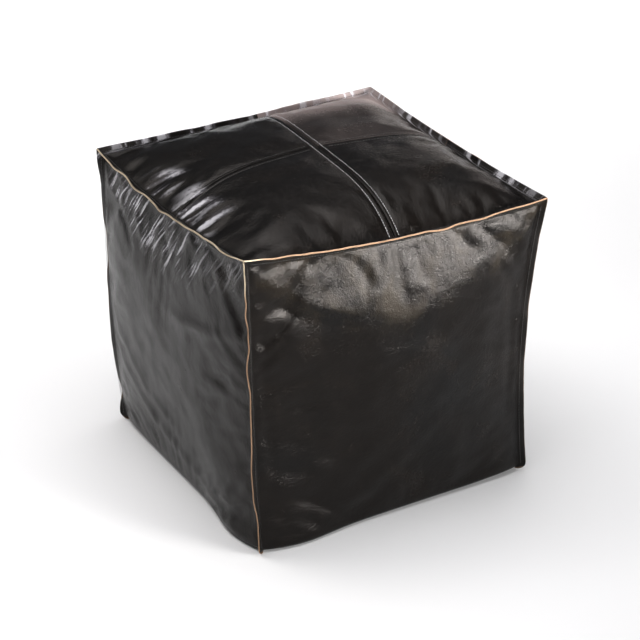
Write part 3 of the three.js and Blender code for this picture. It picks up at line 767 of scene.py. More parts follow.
class Finish:
    """A material under construction."""

    def __init__(self, name, colour, **constants):
        self.material = bpy.data.materials.new(name)
        self.material.use_nodes = True
        self.material.diffuse_color = (*colour, 1)
        self.tree = self.material.node_tree
        self.shader = self.tree.nodes["Principled BSDF"]
        self.shader.inputs["Base Color"].default_value = (*colour, 1)
        for socket, value in constants.items():
            self.shader.inputs[socket.replace("_", " ")].default_value = value

    def node(self, kind, settings=None, sockets=None, output=0):
        made = self.tree.nodes.new(kind)
        for key, value in (settings or {}).items():
            setattr(made, key, value)
        for key, value in (sockets or {}).items():
            if isinstance(value, Wire):
                self.tree.links.new(value.socket, made.inputs[key])
            else:
                made.inputs[key].default_value = value
        return Wire(self, made.outputs[output])

    def place(self):
        return self.node("ShaderNodeTexCoord", output="Object")

    def axis(self, name):
        return self.node("ShaderNodeSeparateXYZ", None, {"Vector": self.place()}, output=name)

    def scaled(self, vector, scale):
        return self.node("ShaderNodeMapping", None, {"Vector": vector, "Scale": scale})

    def on_map(self, name, across, along):
        """Places on a UV map, drawn out by a count of features per metre each way."""
        return self.scaled(self.node("ShaderNodeUVMap", {"uv_map": name}), (across, along, 1))

    def value(self, name):
        return self.node("ShaderNodeAttribute", {"attribute_name": name}, output="Fac")

    def noise(self, vector, scale, detail=2.0, roughness=0.5, distortion=0.0):
        return self.node("ShaderNodeTexNoise", None, {
            "Vector": vector, "Scale": scale, "Detail": detail,
            "Roughness": roughness, "Distortion": distortion})

    def cells(self, vector, scale):
        return self.node("ShaderNodeTexVoronoi", None, {"Vector": vector, "Scale": scale}, output="Distance")

    def threads(self, vector, axis, scale, distortion):
        return self.node("ShaderNodeTexWave", {"wave_type": "BANDS", "bands_direction": axis}, {
            "Vector": vector, "Scale": scale, "Distortion": distortion, "Detail": 1.0}, output="Fac")

    def step(self, value, start, end):
        return self.node("ShaderNodeMapRange", {"interpolation_type": "SMOOTHSTEP"}, {
            "Value": value, "From Min": start, "From Max": end})

    def blend(self, factor, first, second):
        colours = {0: factor}
        colours[6] = first if isinstance(first, Wire) else (*first, 1)
        colours[7] = second if isinstance(second, Wire) else (*second, 1)
        return self.node("ShaderNodeMix", {"data_type": "RGBA"}, colours, output=2)

    def bump(self, height, distance, strength=1.0, under=None):
        sockets = {"Height": height, "Distance": distance, "Strength": strength}
        if under:
            sockets["Normal"] = under
        return self.node("ShaderNodeBump", None, sockets)

    def set(self, **wires):
        for socket, wire in wires.items():
            self.tree.links.new(wire.socket, self.shader.inputs[socket.replace("_", " ")])
        return self.material


# %% [markdown]
# ## The leather
# The hide is dyed almost black over brown and finished with a glaze. Up close it has a
# fine pebbled grain. From a step away the glaze shows soft blotches, brown where the dye
# is thin and bluish where it is thick, and near the seams it is drawn into fine creases
# that catch the light. Pale streaks of light on the creases are painted into the colour as
# highlights: a noise that is stretched along the streaks by its own map, and let through
# only where the panel's painted glint weight and a second, wider noise say so.


# %% Glazed black leather
# the third value places painted highlight glints, and the fifth a painted sheen with a rougher surface
panel_values = ["near_top", "near_end", "painted_glint_weight", "worn", "dust_and_painted_sheen", "rim"]


def glazed_leather():
    finish = Finish("leather_black_glazed", (0.0018, 0.0014, 0.0012), IOR=1.5,
                    Specular_IOR_Level=0.17, Specular_Tint=(1.0, 0.93, 0.88, 1))
    place = finish.place()
    blotches = finish.noise(place, 14, 3, 0.6, 0.6)
    clouds = finish.noise(place, 5.5, 2, 0.5)
    specks = finish.noise(place, 210, 3, 0.7)
    ripples = finish.noise(place, 46, 2, 0.5)
    grain = finish.cells(place, 780)
    soft_grain = finish.noise(place, 300, 3, 0.65)
    near_top, near_end, painted_glint_weight, worn, dust_and_painted_sheen, rim = (finish.value(name) for name in panel_values)

    drawn_down = finish.noise(finish.on_map("panel", 85, 14), 1, 2, 0.5, 0.8)
    drawn_across = finish.noise(finish.on_map("panel", 14, 85), 1, 2, 0.5, 0.8)
    streaks = finish.noise(finish.on_map("streak", 185, 15), 1, 1, 0.5, 0.25)
    frayed = finish.noise(finish.on_map("streak", 640, 190), 1, 3, 0.7)
    clusters = finish.noise(finish.on_map("streak", 40, 10), 1, 1, 0.5)
    # painted highlights: pale glints of light are painted into the colour in clusters along the streak map
    in_cluster = finish.step(clusters, 0.36, 0.52) * painted_glint_weight
    painted_glow = finish.step(streaks, 0.42, 0.66) * in_cluster
    painted_glints = finish.step(streaks + (frayed - 0.5) * 0.42, 0.54, 0.66) * in_cluster

    brownish, bluish = (0.0020, 0.0015, 0.0012), (0.0013, 0.0017, 0.0020)
    colour = finish.blend(finish.step(clouds, 0.50, 0.72) * 0.8, brownish, bluish)
    colour = finish.blend(finish.step(blotches, 0.52, 0.70) * 0.5, colour, (0.0050, 0.0033, 0.0022))
    colour = finish.blend(finish.step(blotches, 0.42, 0.66) * worn, colour, (0.016, 0.012, 0.007))
    colour = finish.blend(finish.step(specks, 0.52, 0.74) * 0.24, colour, (0.016, 0.012, 0.010))
    # painted sheen: the back right quarter of the seat is painted a lighter warm grey to stand for a
    # reflected sheen, and it is rougher there
    colour = finish.blend(dust_and_painted_sheen * (0.45 + blotches), colour, (0.230, 0.188, 0.180))
    # painted highlights: pale glow and glints of light lighten the colour here
    colour = finish.blend(painted_glow * 0.50, colour, (0.24, 0.225, 0.25))
    colour = finish.blend(painted_glints * 0.9, colour, (0.60, 0.59, 0.62))
    roughness = (0.225 + (blotches - 0.5) * 0.22 + (clouds - 0.5) * 0.12 + (specks - 0.5) * 0.16
                 - in_cluster * 0.06 + worn * 0.07 + dust_and_painted_sheen * 0.16 + rim * 0.25)

    creases = drawn_down * near_top * 0.35 + drawn_across * near_end * 0.3
    normal = finish.bump(ripples * (0.4 + worn * 0.8) + creases + painted_glow * 0.6, 0.0011, 0.8)
    normal = finish.bump(soft_grain * 1.2 - grain * 0.5, 0.00055, 0.9, under=normal)
    return finish.set(Base_Color=colour, Roughness=roughness, Normal=normal)


leather_finish = glazed_leather()
print("leather finish has", len(leather_finish.node_tree.nodes), "nodes")


# %% [markdown]
# ## The cut edge and the flesh side
# The knife cuts through the dye into the pale heart of the hide, so every rim shows a
# thin tan line, in places stained dark again by hand. Along the left top edge the line is
# paler, nearly cream. The flesh side is matt suede.


# %% Raw edge and suede
def raw_edge():
    finish = Finish("leather_raw_edge", (0.42, 0.26, 0.15), Roughness=0.85, Specular_IOR_Level=0.25)
    place = finish.place()
    fibres = finish.noise(place, 900, 3, 0.7)
    stains = finish.noise(place, 38, 3, 0.6)
    at_left = finish.step(finish.axis("X") + (finish.noise(place, 9, 1, 0.5) - 0.5) * 0.08, -0.170, -0.215)
    pale = at_left * finish.step(finish.axis("Z"), 0.375, 0.400)
    colour = finish.blend(pale, (0.36, 0.225, 0.140), (0.58, 0.48, 0.34))
    colour = finish.blend(finish.step(stains, 0.58, 0.72) * 0.5, colour, (0.16, 0.095, 0.06))
    colour = finish.blend(finish.step(fibres, 0.55, 0.75) * 0.3, colour, (0.20, 0.13, 0.08))
    return finish.set(Base_Color=colour, Normal=finish.bump(fibres, 0.0002, 0.6))


def suede():
    finish = Finish("leather_flesh_side", (0.10, 0.065, 0.042), Roughness=0.95, Specular_IOR_Level=0.15)
    place = finish.place()
    nap = finish.noise(place, 520, 4, 0.75, 0.4)
    hands = finish.noise(place, 22, 3, 0.6)
    colour = finish.blend(finish.step(nap, 0.35, 0.70), (0.070, 0.044, 0.028), (0.150, 0.100, 0.066))
    colour = finish.blend(finish.step(hands, 0.50, 0.70) * 0.5, colour, (0.060, 0.040, 0.028))
    return finish.set(Base_Color=colour, Normal=finish.bump(nap, 0.0003, 0.8))


raw_edge_finish = raw_edge()
suede_finish = suede()
print("finishes:", leather_finish.name, raw_edge_finish.name, suede_finish.name)

# %% [markdown]
# ## The four sides
# Each side takes its stations, the pillow shape, the relaxed folds, the listed folds
# and the puckers along its seams, in that order.


# %% Make the sides
def side_surface(face):
    """Points of a side's outer surface, and its relief on the way."""
    rows, columns = rows_of_side, columns_of_side
    points = pillow(side_flat(face, rows, columns))
    across = np.broadcast_to((columns[:, 0] * (root_half - ply))[None, :], points.shape[:2])
    height = np.broadcast_to(rows[:, 1][:, None], points.shape[:2])
    row_shares = np.where(rows[:, 3] > 0, 2, (rows[:, 1] - foot_radius) / (wall_top - foot_radius))
    column_shares = np.where(columns[:, 1] > 0, 2, (columns[:, 0] + 1) / 2)
    kept_folds = 0.4 + 0.6 * ease(height, 0.15, 0.34) if face == "front" else np.ones(height.shape)
    points = points + read_folds(f"side_{face}", row_shares, column_shares) * kept_folds[..., None]
    in_panel = (rows[:, 3] == 0)[:, None] & (columns[:, 1] == 0)[None, :]
    from_top = np.clip(wall_top - height, 0, None)
    from_end = np.clip(root_half - ply - np.abs(across), 0, None)
    seed = 100 + 10 * face_order.index(face)
    relief = fold_relief(across, height, side_folds[face])
    strong = 1.5 if face == "left" else 1.0
    relief += strong * puckers(across, from_top, 0.014, seed)
    end_puckers = 0.0004 if face == "front" else 0.0009
    relief += puckers(height, from_end, 0.018, seed + 2 + (across > 0), 0.045, end_puckers)
    dents = 0.0012 * field(across, height, 0.045, 0.035, seed + 5)
    relief += dents + 0.0006 * field(across, height, 0.02, 0.016, seed + 6)
    calm = ease(from_top, 0.0, 0.010) * ease(from_end, 0.0, 0.010) * ease(height, 0.004, 0.030)
    return points + outward(points) * (relief * calm * in_panel)[..., None]


def make_side(face):
    points = side_surface(face)
    rows, columns = rows_of_side, columns_of_side
    row_rim, column_rim = rows[:, 3][:, None], columns[:, 1][None, :]
    across = columns[:, 0] * (root_half - ply) + np.sign(columns[:, 0]) * flange * columns[:, 1]
    across, height = np.broadcast_arrays(across[None, :], rows[:, 1][:, None])
    from_top = np.clip(wall_top - height, 0, None)
    from_end = np.clip(root_half - ply - np.abs(across), 0, None)
    near_top = 1 - ease(from_top, 0.004, 0.060)
    near_end = 1 - ease(from_end, 0.004, 0.045)
    depth = crescent_reach(face, across / (root_half - ply))
    worn = (1 - ease(from_top, 0.65 * depth, 1.15 * depth)) * {"front": 1.0, "left": 0.25}.get(face, 0.6)
    # where pale highlight glints are painted in: on the rims and in a band under the left top seam
    painted_glint_weight = 0.8 * (row_rim > 0) * (face != "front")
    if face == "left":
        drawn = 1 - ease(from_top, 0.50 * depth, 1.0 * depth)
        painted_glint_weight = np.maximum(painted_glint_weight, drawn * (0.24 + 0.76 * (1 - ease(across, -0.02, 0.13))))
    if face == "front":
        worn = worn * (0.3 + 0.7 * ease(across, -0.17, -0.05))
    values = {"near_top": near_top, "near_end": near_end, "painted_glint_weight": painted_glint_weight, "worn": worn, "dust_and_painted_sheen": 0.0}
    streaks = (0.855 * across - 0.52 * height, -0.52 * across - 0.855 * height)
    rim = np.maximum(row_rim, column_rim)
    return leather_panel(f"leather_side_{face}", points, False, rim, values,
                         {"panel": (across, height), "streak": streaks})


sides = {face: make_side(face) for face in faces}
for face, piece in sides.items():
    print(piece.name, len(piece.data.polygons), "faces")

# %% [markdown]
# ## The four seat quarters
# The quarters meet in two plain seams. On each side of a seam the turned-under edge lifts
# the leather into a band, which ends at the row of topstitching.


# %% Relief beside the seat seams
stitch_pitch = 0.0042


def seam_band(distance, along, seed):
    """Height of the leather at a distance from a seat seam."""
    dive = -0.0024 * np.exp(-(distance / 0.0009) ** 2)
    band = 0.0004 * (1 - ease(distance, 0.0050, 0.0085))
    pinch = -0.0007 * np.exp(-((distance - stitch_offset) / 0.0010) ** 2)
    near_row = np.exp(-((distance - stitch_offset) / 0.0020) ** 2)
    dimples = 0.0002 * np.cos(2 * math.pi * along / stitch_pitch) * near_row
    swell = 0.0004 * ease(distance, 0.0070, 0.0120) * (1 - ease(distance, 0.0120, 0.0350))
    gather = swell * (0.5 + wander(along, 0.011, seed) + 0.5 * wander(along, 0.005, seed + 1))
    return dive + band + pinch + dimples + gather


# %% Folds of the seat, as (x, y) places
seat_folds = [
    ([(0.060, 0.150), (0.120, 0.128), (0.180, 0.110)], 0.012, 0.0022),
    ([(0.050, 0.105), (0.120, 0.090), (0.185, 0.066)], 0.010, -0.0016),
    ([(0.060, 0.060), (0.130, 0.052), (0.190, 0.030)], 0.012, 0.0016),
    ([(-0.205, 0.010), (-0.175, 0.000), (-0.150, 0.004)], 0.010, 0.0020),
    ([(-0.205, -0.050), (-0.175, -0.046), (-0.150, -0.056)], 0.010, 0.0022),
    ([(-0.205, -0.085), (-0.180, -0.088), (-0.160, -0.080)], 0.008, -0.0020),
    ([(-0.200, -0.190), (-0.165, -0.160), (-0.120, -0.140)], 0.014, 0.0020),
    ([(0.200, -0.195), (0.165, -0.170), (0.120, -0.155)], 0.014, 0.0018),
    ([(-0.100, 0.190), (-0.080, 0.150), (-0.090, 0.110)], 0.014, 0.0016),
]


# %% Make the seat quarters
def make_quarter(quarter, side_x, side_y):
    stations = stations_of_seat
    flat = seat_flat(side_x, side_y, stations, stations)
    points = pillow(flat)
    p, q = np.meshgrid(stations[:, 0], stations[:, 0])
    rim_x, rim_y = np.meshgrid(stations[:, 1], stations[:, 1])
    half = root_half - ply
    start = stitch_offset / half
    shares = np.where(stations[:, 1] > 0, 2, (stations[:, 0] - start) / (1 - start))
    column_shares = shares if side_x * side_y > 0 else np.where(shares > 1, 2, 1 - shares)
    points = points + read_folds(f"seat_{quarter}", shares, column_shares)
    from_seam_x, from_seam_y = p * half, q * half
    from_edge_x, from_edge_y = (1 - p) * half, (1 - q) * half
    x, y = flat[..., 0], flat[..., 1]
    seed = 300 + 20 * list(quarters).index(quarter)
    relief = seam_band(from_seam_x, y, seed) + seam_band(from_seam_y, x, seed + 3)
    open_seat = ease(from_seam_x, 0.008, 0.030) * ease(from_seam_y, 0.008, 0.030)
    open_edge = ease(from_edge_x, 0.0, 0.012) * ease(from_edge_y, 0.0, 0.012)
    soft = fold_relief(x, y, seat_folds)
    soft += 0.0010 * field(x, y, 0.05, 0.04, seed + 6) + 0.0005 * field(x, y, 0.018, 0.018, seed + 7)
    strong = 1.7 if side_x < 0 else 1.1
    soft += strong * puckers(y, from_edge_x, 0.013, seed + 8, 0.045)
    soft += puckers(x, from_edge_y, 0.013, seed + 10, 0.045)
    relief *= ease(from_edge_x, -0.001, 0.004) * ease(from_edge_y, -0.001, 0.004)
    relief += soft * open_seat * open_edge
    in_panel = (rim_x == 0) & (rim_y == 0)
    direction = outward(points) * (side_x * side_y)
    points = points + direction * (relief * in_panel)[..., None]
    row = near_seam.index(stitch_offset)
    seat_lines[quarter, "long"] = points[:, row], direction[:, row]
    seat_lines[quarter, "cross"] = points[row], direction[row]
    on_rim = ((rim_x > 0) & (side_x > 0)) | ((rim_y > 0) & (side_y > 0))
    # where pale highlight glints are painted in: on the right and back rims and in a band near the left edge
    painted_glint_weight = 0.7 * on_rim
    if side_x < 0:
        band = ease(from_edge_x, 0.001, 0.006) * (1 - ease(from_edge_x, 0.030, 0.050))
        painted_glint_weight = np.maximum(painted_glint_weight, band * ease(y, -0.10, -0.05) * (1 - ease(y, 0.07, 0.13)))
    along_rim, across_rim = np.where(rim_y > 0, x, y), np.where(rim_y > 0, y, x)
    streaks = (np.where(on_rim, 0.45 * along_rim, 0.38 * y + 0.14 * x),
               np.where(on_rim, across_rim, 0.85 * x - 0.31 * y))
    # the last value paints a sheen on the back right quarter, lighter towards the back
    values = {"near_top": 1 - ease(from_edge_y, 0.004, 0.055),
              "near_end": 1 - ease(from_edge_x, 0.004, 0.055), "painted_glint_weight": painted_glint_weight, "worn": 0.0,
              "dust_and_painted_sheen": 0.07 + ease(y, 0.10, 0.19) if quarter == "back_right" else 0.0}
    return leather_panel(f"leather_seat_{quarter}", points, side_x * side_y < 0, np.maximum(rim_x, rim_y),
                         values, {"panel": (x, y), "streak": streaks})


seat_lines = {}
seat = {quarter: make_quarter(quarter, *sides_xy) for quarter, sides_xy in quarters.items()}
for quarter, piece in seat.items():
    print(piece.name, len(piece.data.polygons), "faces")

# %% [markdown]
# ## The base
# Two halves close the cover below. Between them the leather rises a little on each side
# of the zip, so that the pouf stands on leather and not on metal.

# %% Make the base halves
base_half = root_half - foot_radius - tuck - 2 * seam_gap
base_edge = np.array([0, 0.003, 0.007])
zip_half_length, zip_half_gap, zip_rise, zip_bank = 0.150, 0.005, 0.006, 0.028


def make_base(name, side):
    taper = 1 - waist
    x_share = np.concatenate([np.linspace(0, 0.12, 9), np.linspace(0.12, 1, 22)[1:]])
    y = np.concatenate([-base_half + base_edge, evenly(-base_half + 0.012, base_half - 0.012, 0.007),
                        base_half - base_edge[::-1]])
    beside_zip = 1 - ease(np.abs(y), zip_half_length / taper - 0.002, (zip_half_length + 0.012) / taper)
    edge = (seam_gap + (zip_half_gap - seam_gap) * beside_zip) / taper
    x = edge[:, None] + (base_half - edge[:, None]) * x_share[None, :]
    grid_y = np.broadcast_to(y[:, None], x.shape)
    bank = zip_rise * beside_zip[:, None] * (1 - ease(x, zip_half_gap / taper, zip_bank / taper))
    rim = tuck_rise * np.maximum(ease(x, base_half - tuck / 2, base_half),
                                 ease(np.abs(grid_y), base_half - tuck / 2, base_half))
    flat = np.stack([side * x, grid_y, np.maximum(bank, rim)], axis=-1)
    points = pillow(flat)
    values = {"near_top": 0.25, "near_end": 0.2, "painted_glint_weight": 0.0, "worn": 0.1, "dust_and_painted_sheen": 0.0}
    flat_map = (side * x, grid_y)
    return leather_panel(name, points, side > 0, np.zeros(x.shape), values,
                         {"panel": flat_map, "streak": flat_map})


base = {"left": make_base("leather_base_left", -1), "right": make_base("leather_base_right", 1)}
print("base halves reach", [round(v, 3) for v in base["right"].dimensions])

# %% [markdown]
# ## Sewing thread
# A stitch is a short length of twisted thread that dives into the leather at each end. It
# is modelled once, as a six-sided bar whose ends are drawn in, and then copied along every
# row at the real stitch length.

# %% Model one stitch
clear_selection()
bpy.ops.mesh.primitive_cylinder_add(vertices=6, radius=0.00042, depth=0.0034, end_fill_type="NGON")
one_stitch = bpy.context.object
one_stitch.name = "one_stitch"
bpy.ops.object.mode_set(mode="EDIT")
bpy.ops.mesh.select_all(action="SELECT")
bpy.ops.mesh.subdivide(number_cuts=1)
bpy.ops.object.mode_set(mode="OBJECT")
stitch_mesh = one_stitch.data
for vertex in stitch_mesh.vertices:
    end = min(1.0, abs(vertex.co.z) / 0.0017)
    vertex.co.x *= 1 - 0.55 * end ** 3
    vertex.co.y = vertex.co.y * (1 - 0.55 * end ** 3) - 0.0005 * end ** 2
stitch_points = np.array([v.co[:] for v in stitch_mesh.vertices])
stitch_faces = [list(p.vertices) for p in stitch_mesh.polygons]
bpy.data.objects.remove(one_stitch)
print("one stitch has", len(stitch_faces), "faces")


# %% Lay stitches along a row
def along_row(line, stand, pitch):
    """Evenly spaced places on a line of points, as (middles, directions, ways to stand)."""
    steps = np.linalg.norm(np.diff(line, axis=0), axis=1)
    travelled = np.concatenate([[0], np.cumsum(steps)])
    count = max(1, int(travelled[-1] / pitch))
    middles = (np.arange(count) + 0.5) * travelled[-1] / count

    def read(values, places):
        return np.stack([np.interp(places, travelled, values[:, k]) for k in range(3)], axis=1)

    ways = read(line, middles + pitch * 0.4) - read(line, middles - pitch * 0.4)
    ways /= np.linalg.norm(ways, axis=1, keepdims=True)
    return read(line, middles), ways, read(np.broadcast_to(stand, line.shape), middles)


def repeated(name, copies, polygons, finish):
    """One piece made of many copies of a small shape, given the points of each copy."""
    count = len(copies[0])
    faces = [[index + number * count for index in polygon]
             for number in range(len(copies)) for polygon in polygons]
    piece = mesh_piece(name, np.concatenate(copies), faces)
    piece.data.materials.append(finish)
    shade_smooth(piece)
    return piece


def lay_stitches(name, row, pitch, finish, seed):
    """One piece with a stitch at every pitch of a row, which is (points, stand)."""
    rng = np.random.default_rng(seed)
    copies = []
    for middle, way, upward in zip(*along_row(*row, pitch)):
        lean = rng.normal(0, 0.05)
        side = np.cross(upward, way)
        side /= np.linalg.norm(side)
        axes = np.stack([side, np.cross(way, side), way + lean * side])
        copies.append(middle + stitch_points @ axes)
    return repeated(name, copies, stitch_faces, finish)


# %% Thread finishes
def waxed_thread(name, dark, light, roughness):
    finish = Finish(name, dark, Roughness=roughness, Specular_IOR_Level=0.4, Sheen_Weight=0.2)
    place = finish.place()
    twist = finish.noise(place, 1500, 2, 0.6, 1.5)
    dirt = finish.noise(place, 60, 2, 0.5)
    colour = finish.blend(finish.step(twist, 0.35, 0.65), dark, light)
    colour = finish.blend(finish.step(dirt, 0.5, 0.75) * 0.4, colour, tuple(0.45 * v for v in dark))
    return finish.set(Base_Color=colour, Normal=finish.bump(twist, 0.00015, 0.8))


light_thread = waxed_thread("thread_light_waxed", (0.30, 0.30, 0.31), (0.62, 0.62, 0.64), 0.45)
dark_thread = waxed_thread("thread_dark_waxed", (0.010, 0.009, 0.009), (0.035, 0.032, 0.030), 0.5)

# %% [markdown]
# ## Rows of stitching
# The long seat seam is topstitched with a pale thread, one row on each side of it. The
# cross seam has dark thread. The edge seams are closed by a dark thread low on the rim,
# where it hardly shows. Each row follows the same pillow shape as the leather under it.

# %% Seat rows
def seat_row(side_x, side_y, p, q, lift):
    """A line on the seat that stays at shares p and q, lifted off the box."""
    p, q = np.broadcast_arrays(np.asarray(p, float), np.asarray(q, float))
    place = seat_place(side_x, side_y, p, q)
    flat = np.stack([place[..., 0] - side_x * ply * p, place[..., 1] - side_y * ply * q,
                     np.full(p.shape, root_height + lift)], axis=-1)
    return pillow(flat)


run = np.linspace(0.012, 0.985, 90)
under_seam = -0.0035
on_leather = 0.0003


def stretch(quarter, line, start):
    """The topstitch line of a quarter from a share of its length on, and how it stands."""
    points, ways = seat_lines[quarter, line]
    shares, rim = stations_of_seat.T
    keep = (shares >= start) & (shares <= 0.99) & (rim == 0)
    return points[keep] + on_leather * ways[keep], ways[keep]


seat_rows = {}
for word, side_x in (("left", -1), ("right", 1)):
    towards, away = stretch(f"front_{word}", "long", 0.02), stretch(f"back_{word}", "long", 0.02)
    row = tuple(np.concatenate([near[::-1], far]) for near, far in zip(towards, away))
    seat_rows[f"topstitch_long_{word}"] = (row, light_thread)
    for end in ("front", "back"):
        seat_rows[f"topstitch_cross_{word}_{end}"] = (stretch(f"{end}_{word}", "cross", 0.06), dark_thread)
    closing = seat_row(side_x, 1, run[8:], 0.0, under_seam)
    seat_rows[f"closing_thread_cross_{word}"] = ((closing, up), dark_thread)
closing = np.concatenate([seat_row(1, -1, 0.0, run[::-1], under_seam), seat_row(1, 1, 0.0, run, under_seam)])
seat_rows["closing_thread_long"] = ((closing, up), dark_thread)

thread_pieces = {}


def sew(node, row, seed, finish=dark_thread, pitch=stitch_pitch):
    thread_pieces[node] = lay_stitches(f"sewn_{node}", row, pitch, finish, seed)


for number, (node, (row, finish)) in enumerate(seat_rows.items()):
    sew(node, row, 500 + number, finish)
print(len(thread_pieces), "rows on the seat")

# %% Edge rows
stitch_up = 0.003 / math.sqrt(2)
stitch_off = (leather + ply_gap / 2 + on_leather) / math.sqrt(2)
seam_rim_share = 0.3
nudge = 0.0005


def on_face(face, across, out, height):
    across_way, out_way = faces[face]
    across, out, height = np.broadcast_arrays(across, out, height)
    return across[..., None] * across_way + out[..., None] * out_way + height[..., None] * up


def top_edge_row(face, upper):
    """A row beside a top rim, with the direction that its stitches stand in."""
    across = np.linspace(-1, 1, 120) * (root_half - 0.003)
    rise, off = stitch_up + stitch_off, stitch_up - stitch_off
    lean = leaned(top_rim_lean(face, across), seam_rim_share)
    out = root_half + (off if upper else rise) + lean
    height = root_height + (rise if upper else off) - lean
    base_line = pillow(on_face(face, across, out, height))
    step = nudge if upper else -nudge
    stand = pillow(on_face(face, across, out - step, height + step)) - base_line
    return base_line, stand


def corner_edge_row(face, own):
    """A row beside the corner rim at a face's right end, on that face or on its neighbour."""
    height = np.linspace(foot_radius, root_height - 0.004, 110)
    rise, off = stitch_up + stitch_off, stitch_up - stitch_off
    lean = leaned(corner_rim_lean(face, height), seam_rim_share)
    across = root_half + (off if own else rise) - lean
    out = root_half + (rise if own else off) + lean
    base_line = pillow(on_face(face, across, out, height))
    step = nudge if own else -nudge
    return base_line, pillow(on_face(face, across - step, out + step, height)) - base_line


for number, face in enumerate(face_order):
    for word, upper in (("upper", True), ("lower", False)):
        sew(f"top_seam_thread_{face}_{word}", top_edge_row(face, upper), 600 + number)
corner_of = {"front": "front_right", "right": "back_right", "back": "back_left", "left": "front_left"}
for number, face in enumerate(face_order):
    neighbour = face_order[(number + 1) % 4]
    for owner, own in ((face, True), (neighbour, False)):
        sew(f"corner_seam_thread_{corner_of[face]}_on_{owner}", corner_edge_row(face, own), 640 + number)

# %% Base rows
seam = base_half + seam_gap
row_end = 0.004
across = np.linspace(-1, 1, 100) * (seam - row_end)
for number, face in enumerate(face_order):
    line = pillow(on_face(face, across, seam, tuck_rise - 0.0006))
    sew(f"base_seam_thread_{face}", (line, -up), 680 + number)

row_x = zip_half_gap + 0.004
length = np.linspace(-1, 1, 60) * (zip_half_length - row_end)
level = zip_rise * (1 - float(ease(np.array(row_x), zip_half_gap, zip_bank))) - 0.0005
for side, word in ((-1, "left"), (1, "right")):
    line = np.stack(np.broadcast_arrays(side * row_x, length, level), axis=1)
    sew(f"zip_stitching_{word}", (line, -up), 700 + side, pitch=0.0036)
print(len(thread_pieces), "rows of stitching in all")

# %% [markdown]
# ## The zip
# The zip lies under the base, where it isn't seen in use. Its teeth are a nylon coil sewn
# to woven tape, and a metal slider with a flat pull runs along it.

# %% Model one turn of the coil
coil_low, coil_high, coil_width = 0.0053, 0.0076, 0.0030
coil_pitch = 0.0017
clear_selection()
bpy.ops.mesh.primitive_torus_add(
    major_segments=8, minor_segments=5, major_radius=0.00105, minor_radius=0.00034)
turn = bpy.context.object
bpy.ops.object.mode_set(mode="EDIT")
bpy.ops.mesh.select_all(action="SELECT")
bpy.ops.transform.rotate(value=math.pi / 2, orient_axis="X", center_override=(0, 0, 0))
bpy.ops.object.mode_set(mode="OBJECT")
turn_points = np.array([v.co[:] for v in turn.data.vertices])
low, high = turn_points.min(0), turn_points.max(0)
turn_size = np.array([coil_width * 0.96, 0.00085, coil_high - coil_low])
turn_points = (turn_points - (low + high) / 2) / (high - low) * turn_size
turn_faces = [list(p.vertices) for p in turn.data.polygons]
bpy.data.objects.remove(turn)
print("one turn has", len(turn_faces), "faces")


# %% Lay the coils, tapes and stops
def make_coil(name, side, finish):
    chain = zip_half_length - 0.0033
    places = np.arange(-chain + 0.0006, chain - 0.0006, coil_pitch) + (0.00045 if side > 0 else -0.0004)
    middle = side * (seam_gap + coil_width / 2)
    slanted = turn_points.copy()
    slanted[:, 1] += slanted[:, 0] * 0.12 * side
    copies = [slanted + np.array([middle, y, (coil_low + coil_high) / 2]) for y in places]
    return repeated(name, copies, turn_faces, finish)


def woven_tape():
    finish = Finish("zip_tape_woven", (0.016, 0.015, 0.015), Roughness=0.85, Specular_IOR_Level=0.3)
    place = finish.place()
    weave = finish.threads(place, "Y", 330.0, 0.6) * finish.threads(place, "X", 420.0, 0.4)
    fuzz = finish.noise(place, 400, 3, 0.6)
    colour = finish.blend(weave, (0.010, 0.0095, 0.0095), (0.034, 0.032, 0.031))
    return finish.set(Base_Color=colour, Roughness=0.78 + fuzz * 0.15,
                      Normal=finish.bump(weave + fuzz * 0.3, 0.0002, 0.7))


def nylon():
    finish = Finish("zip_coil_nylon", (0.015, 0.0145, 0.0145), Roughness=0.42)
    place = finish.place()
    rubbed = finish.noise(place, 300, 3, 0.6)
    colour = finish.blend(finish.step(rubbed, 0.5, 0.7), (0.013, 0.0125, 0.0125), (0.030, 0.029, 0.028))
    return finish.set(Base_Color=colour, Roughness=0.34 + rubbed * 0.2,
                      Normal=finish.bump(rubbed, 0.0001, 0.4))


def worn_metal():
    finish = Finish("zip_metal_antique", (0.36, 0.33, 0.29), Metallic=1.0, Roughness=0.32)
    place = finish.place()
    tarnish = finish.noise(place, 260, 4, 0.65)
    scratches = finish.noise(place, 1500, 2, 0.6, 2.0)
    colour = finish.blend(finish.step(tarnish, 0.48, 0.66), (0.42, 0.39, 0.34), (0.13, 0.11, 0.09))
    return finish.set(Base_Color=colour, Roughness=0.24 + tarnish * 0.22 + scratches * 0.08,
                      Normal=finish.bump(scratches, 0.00006, 0.5))


tape_finish, coil_finish, metal_finish = woven_tape(), nylon(), worn_metal()
zip_pieces = {f"zip_coil_{word}": make_coil(f"nylon_coil_{word}", side, coil_finish)
              for word, side in (("left", -1), ("right", 1))}


tape_edge = 0.0155
tape_thickness = 0.0005


def make_tape(node, name):
    """A woven tape in the place of its frame node, a little wavy along its length."""
    low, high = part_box(node)
    middle = (low + high) / 2
    clear_selection()
    bpy.ops.mesh.primitive_grid_add(x_subdivisions=12, y_subdivisions=60, size=1, location=middle)
    tape = bpy.context.object
    tape.name = name
    tape.scale = (high.x - low.x, high.y - low.y, 1)
    settle(tape)
    for vertex in tape.data.vertices:
        across = abs(vertex.co.x) / tape_edge
        vertex.co.z += 0.00012 * math.sin(vertex.co.y * 90 + across * 3) - 0.0003
    thick = tape.modifiers.new("woven", "SOLIDIFY")
    thick.thickness = tape_thickness
    thick.offset = 1
    apply_modifiers(tape)
    tape.data.materials.append(tape_finish)
    return tape


